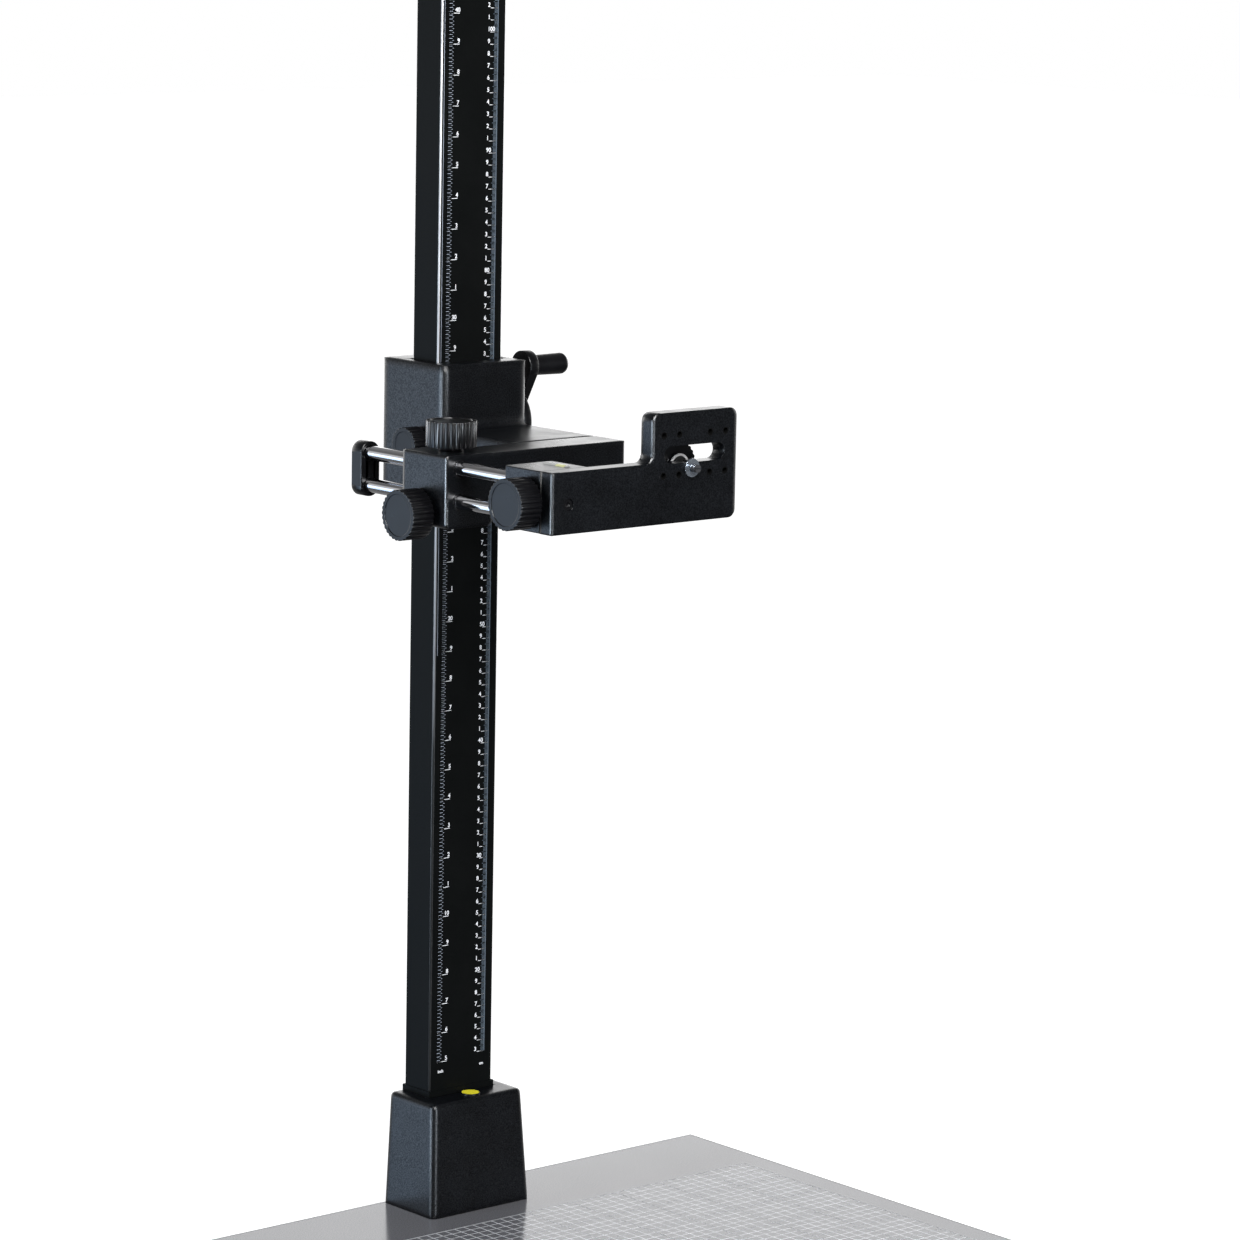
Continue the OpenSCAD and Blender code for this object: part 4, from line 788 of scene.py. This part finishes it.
def text_mesh(text, height_mm, align):
    """Flat letters as a mesh in the XZ plane, facing -Y, aligned on the origin."""
    curve = bpy.data.curves.new("letters", "FONT")
    curve.body = text
    curve.size = mm(height_mm) * FONT_SIZE_PER_HEIGHT
    curve.resolution_u = 3
    curve.offset = mm(STROKE_GAIN)
    curve.align_x = align
    helper = bpy.data.objects.new("letters", curve)
    bpy.context.scene.collection.objects.link(helper)
    shown = helper.evaluated_get(bpy.context.evaluated_depsgraph_get())
    mesh = bpy.data.meshes.new_from_object(shown)
    bpy.data.objects.remove(helper)
    bpy.data.curves.remove(curve)
    mesh.transform(Matrix.Rotation(math.radians(90), 4, "X"))
    return mesh


digit_meshes = {}


def label_at(text, x, z, align, height=DIGIT_HEIGHT):
    """A copy of a numeral's mesh, moved to its place on the column's front."""
    if (text, height, align) not in digit_meshes:
        digit_meshes[text, height, align] = text_mesh(text, height, align)
    mesh = digit_meshes[text, height, align].copy()
    mesh.transform(Matrix.Translation(mm(x, PRINT_FRONT, z)))
    return mesh


def short_number(value):
    """A full number at each ten, and its last digit between them."""
    return str(value) if value % 10 == 0 else str(value % 10)


labels = [label_at(short_number(cm), CM_NUMBER_X, cm * 10 + CM_NUMBER_LIFT, "LEFT")
          for cm in range(FIRST_CM, TOP_OF_SCALE_CM + 1)]
labels += [label_at(short_number(inch), INCH_NUMBER_X, inch * INCH + INCH_NUMBER_LIFT, "RIGHT")
           for inch in range(FIRST_INCH, LAST_INCH + 1)]
labels += [label_at("cm", UNIT_X, CM_WORD_Z, "CENTER", UNIT_HEIGHT),
           label_at("inch", -UNIT_X, INCH_WORD_Z, "CENTER", UNIT_HEIGHT)]
flat_labels = join_meshes("scale_numbers", labels, white_print)
for polygon in flat_labels.data.polygons:
    if polygon.normal.y > 0:
        polygon.flip()
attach(flat_labels, "base")
print("numerals:", len(labels), "with", len(flat_labels.data.polygons), "faces")

# %% [markdown]
# The board's grid is printed in white: a fine line each centimetre and a bold one each five. The
# same tree makes both, once across and once from front to back. The second set is a hair thicker,
# so where the lines cross their tops don't lie in one plane.

# %% Board grid
GRID_HALF_WIDTH = 275
GRID_BACK = -62
GRID_DEPTH = 350
FINE_WIDTH = 0.7
BOLD_WIDTH = 1.5
ACROSS_THICK = 0.05
ALONG_THICK = 0.06


def grid_lines(step, width):
    """Lines both ways at one step, as thin bars on the board."""
    across = int(GRID_DEPTH / step) + 1
    along = int(2 * GRID_HALF_WIDTH / step) + 1
    middle_y = GRID_BACK - GRID_DEPTH / 2
    return [
        bars(across, mm(0, GRID_BACK, ACROSS_THICK / 2), mm(0, -step, 0),
             mm(2 * GRID_HALF_WIDTH + width, width, ACROSS_THICK), grid_print),
        bars(along, mm(-GRID_HALF_WIDTH, middle_y, ALONG_THICK / 2), mm(step, 0, 0),
             mm(width, GRID_DEPTH + width, ALONG_THICK), grid_print)]


board_grid = join_meshes("board_grid", grid_lines(10, FINE_WIDTH) + grid_lines(50, BOLD_WIDTH),
                         grid_print)
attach(board_grid, "base")
print("grid:", len(board_grid.data.polygons), "faces")

# %% [markdown]
# The camera screw carries a real thread. Geometry Nodes has a spiral curve: swept with a small
# three-sided profile it becomes the ridge of the thread, which sits on the shank. The shank's dark
# finish is painted shade between the ridges.

# %% Geometry Nodes: a thread ridge
THREAD_PITCH = 1.27
THREAD_RADIUS = 3.02
RIDGE_RADIUS = 0.42
TIP_LENGTH = 1.4
GAP_TO_PLATE = 1.5
thread_tree, entry, realize = new_shape_tree("thread_ridge", tuple(
    (label, "NodeSocketFloat") for label in ("Turns", "Radius", "Length", "Ridge")))
spiral = add_node(thread_tree, "GeometryNodeCurveSpiral", inputs={"Resolution": 28})
profile = add_node(thread_tree, "GeometryNodeCurvePrimitiveCircle", inputs={"Resolution": 3})
sweep = add_node(thread_tree, "GeometryNodeCurveToMesh", inputs={"Fill Caps": True})
link(thread_tree, entry, "Turns", spiral, "Rotations")
link(thread_tree, entry, "Radius", spiral, "Start Radius")
link(thread_tree, entry, "Radius", spiral, "End Radius")
link(thread_tree, entry, "Length", spiral, "Height")
link(thread_tree, entry, "Ridge", profile, "Radius")
link(thread_tree, spiral, "Curve", sweep, "Curve")
link(thread_tree, profile, "Curve", sweep, "Profile Curve")
link(thread_tree, sweep, "Mesh", realize, "Geometry")

screw_low, screw_high = (Vector(corner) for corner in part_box("camera_screw"))
screw_axis = (screw_low + screw_high) / 2
thread_length = plate_low.y - mm(GAP_TO_PLATE) - screw_low.y - mm(TIP_LENGTH)
ridge = run_tree(thread_tree, {"Turns": thread_length / mm(THREAD_PITCH), "Length": thread_length,
                               "Radius": mm(THREAD_RADIUS), "Ridge": mm(RIDGE_RADIUS),
                               "Finish": zinc})
ridge.transform(Matrix.Translation((screw_axis.x, screw_low.y + mm(TIP_LENGTH), screw_axis.z))
                @ Matrix.Rotation(math.radians(-90), 4, "X"))
camera_thread = join_meshes("camera_thread", [ridge], zinc)
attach(camera_thread, "camera_screw_set")
print("thread:", round(thread_length / MM, 1), "mm long")

# %% [markdown]
# The plate's eight small holes get painted shade, so they look black: a dark lining runs down
# each one and ends in a narrow flat dark rim on the front, a little wider than the hole. Each
# lining is three rings of points with faces between them.

# %% Painted shade in the small holes
HOLE_RADIUS = 2.25
SHADE_RIM_RADIUS = 2.9
LINING_CLEARANCE = 0.04
RIM_STANDS_OUT = 0.05
RING_POINTS = 24
HOLE_COLUMNS = (-32.5, -16.25, 16.25, 32.5)
HOLE_ROWS = (664.9, 696.9)
# Painted shade: a near-black finish for the linings of the small holes
hole_shade_dark, shader = start_material("hole_shade_dark", (0.002, 0.002, 0.002), 0.9)
shader.inputs["Specular IOR Level"].default_value = 0.1


def lining(x, z):
    """A dark tube of painted shade in one hole, with a flat dark rim in front of the plate."""
    front = plate_low.y - mm(RIM_STANDS_OUT)
    tube_radius = HOLE_RADIUS - LINING_CLEARANCE
    rings = ((SHADE_RIM_RADIUS, front), (tube_radius, front), (tube_radius, plate_high.y))
    turns = [2 * math.pi * k / RING_POINTS for k in range(RING_POINTS)]
    points = [(mm(x + radius * math.cos(turn)), y, mm(z + radius * math.sin(turn)))
              for radius, y in rings for turn in turns]
    faces = [(ring * RING_POINTS + k, ring * RING_POINTS + (k + 1) % RING_POINTS,
              (ring + 1) * RING_POINTS + (k + 1) % RING_POINTS, (ring + 1) * RING_POINTS + k)
             for ring in (0, 1) for k in range(RING_POINTS)]
    mesh = bpy.data.meshes.new("lining")
    mesh.from_pydata(points, [], faces)
    return mesh


hole_shade_linings = join_meshes("hole_shade_linings", [lining(x, z) for x in HOLE_COLUMNS for z in HOLE_ROWS],
                           hole_shade_dark)
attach(hole_shade_linings, "plate")
print("linings:", len(hole_shade_linings.data.polygons), "faces")

# %% [markdown]
# The studio is a white floor and a plain white surround, as in a product photograph. The camera
# sees the surround as pure white. The floor glows almost as bright and is lit besides, so a very
# faint shadow of the stand is left on it. Mirror images and shadow rays pass through the floor.

# %% Floor
FLOOR_SIZE = 30.0
FLOOR_GLOW = 0.93
floor_mesh = bpy.data.meshes.new("floor")
half = FLOOR_SIZE / 2
floor_z = cad_box[0][2]
floor_corners = [(half * x, half * y, floor_z) for x, y in ((-1, -1), (1, -1), (1, 1), (-1, 1))]
floor_mesh.from_pydata(floor_corners, [], [(0, 1, 2, 3)])
floor = bpy.data.objects.new("floor", floor_mesh)
bpy.context.scene.collection.objects.link(floor)
floor_white, shader = start_material("floor_white", (0.35, 0.35, 0.35), 0.9)
tree = floor_white.node_tree
glow = add_node(tree, "ShaderNodeEmission", inputs={"Strength": FLOOR_GLOW})
lit = add_node(tree, "ShaderNodeAddShader")
clear = add_node(tree, "ShaderNodeBsdfTransparent")
ray = add_node(tree, "ShaderNodeLightPath")
seen = add_node(tree, "ShaderNodeMixShader")
mirrored = add_node(tree, "ShaderNodeMixShader")
link(tree, ray, "Is Camera Ray", seen, 0)
link(tree, shader, 0, seen, 1)
link(tree, shader, 0, lit, 0)
link(tree, glow, 0, lit, 1)
link(tree, lit, 0, seen, 2)
let_through = add_node(tree, "ShaderNodeMath", operation="MAXIMUM")
link(tree, ray, "Is Glossy Ray", let_through, 0)
link(tree, ray, "Is Shadow Ray", let_through, 1)
link(tree, let_through, 0, mirrored, 0)
link(tree, seen, 0, mirrored, 1)
link(tree, clear, 0, mirrored, 2)
tree.links.new(mirrored.outputs[0], tree.nodes["Material Output"].inputs["Surface"])
floor_mesh.materials.append(floor_white)
print("floor at", round(floor_z / MM, 1), "mm")

# %% [markdown]
# What lights the stand is different from what the camera sees: the surround glows behind the stand
# and fades to almost nothing in front, so flat tops shine and front faces stay black. It glows in a
# band just above the horizon, and hardly higher up or lower down.

# %% Surround
BRIGHT_SIDE = Vector((0.6, 0.8, 0))
BACK_LIGHT = 2.4
FRONT_LIGHT = 0.16
BAND_HEIGHT = 0.10
BAND_FULL, BAND_OUT = 0.12, 0.38
OUTSIDE_BAND = 0.15
world = bpy.data.worlds.new("surround")
bpy.context.scene.world = world
world.use_nodes = True
tree = world.node_tree
surround = tree.nodes["Background"]
surround.inputs["Color"].default_value = (1, 1, 1, 1)
way = add_node(tree, "ShaderNodeTexCoord")
toward_back = add_node(tree, "ShaderNodeVectorMath", operation="DOT_PRODUCT")
toward_back.inputs[1].default_value = BRIGHT_SIDE
fade = add_node(tree, "ShaderNodeMapRange",
                inputs={"From Min": 0.0, "From Max": 1.0, "To Min": FRONT_LIGHT,
                        "To Max": BACK_LIGHT})
axes = add_node(tree, "ShaderNodeSeparateXYZ")
above_band = add_node(tree, "ShaderNodeMath", operation="SUBTRACT")
above_band.inputs[1].default_value = BAND_HEIGHT
off_band = add_node(tree, "ShaderNodeMath", operation="ABSOLUTE")
band = add_node(tree, "ShaderNodeMapRange", interpolation_type="SMOOTHSTEP",
                inputs={"From Min": BAND_FULL, "From Max": BAND_OUT, "To Min": 1.0,
                        "To Max": OUTSIDE_BAND})
both = add_node(tree, "ShaderNodeMath", operation="MULTIPLY")
ray = add_node(tree, "ShaderNodeLightPath")
strength = add_node(tree, "ShaderNodeMix", data_type="FLOAT")
strength.inputs[FLOAT_B].default_value = 1.0
link(tree, way, "Generated", toward_back, 0)
link(tree, toward_back, "Value", fade, "Value")
link(tree, way, "Generated", axes, "Vector")
link(tree, axes, "Z", above_band, 0)
link(tree, above_band, 0, off_band, 0)
link(tree, off_band, 0, band, "Value")
link(tree, fade, "Result", both, 0)
link(tree, band, "Result", both, 1)
link(tree, both, 0, strength, FLOAT_A)
link(tree, ray, "Is Camera Ray", strength, FACTOR)
link(tree, strength, FLOAT_OUT, surround, "Strength")
print("surround: from", FRONT_LIGHT, "in front to", BACK_LIGHT, "behind")

# %% [markdown]
# Soft lamps do the rest. A bluish one behind on the left gives the left faces their cool sheen, and
# one above in front lights the board and the print. Two tall narrow ones, at the left and in front,
# show up in each round upright edge as a pair of thin bright lines.

# %% Lamps
AIM = Vector((0, -0.1, 0.55))


def soft_lamp(name, place, width, height, power, color=(1, 1, 1)):
    """An area lamp that looks at the stand."""
    data = bpy.data.lights.new(name, "AREA")
    data.shape = "RECTANGLE"
    data.size = width
    data.size_y = height
    data.energy = power
    data.color = color
    lamp = bpy.data.objects.new(name, data)
    lamp.location = place
    lamp.rotation_euler = (AIM - Vector(place)).to_track_quat("-Z", "Y").to_euler()
    bpy.context.scene.collection.objects.link(lamp)
    return lamp


soft_lamp("left_lamp", (-3.1, 2.0, -0.2), 2.8, 2.2, 44, (0.55, 0.74, 1.0))
soft_lamp("top_lamp", (-1.0, -2.4, 2.6), 1.6, 1.6, 135)
soft_lamp("side_strip", (-3.9, 0.6, 0.5), 0.6, 2.8, 110, (0.75, 0.87, 1.0))
soft_lamp("front_strip", (0.1, -4.2, 0.5), 0.4, 2.8, 70, (0.85, 0.92, 1.0))
bpy.context.scene.view_settings.view_transform = "Standard"
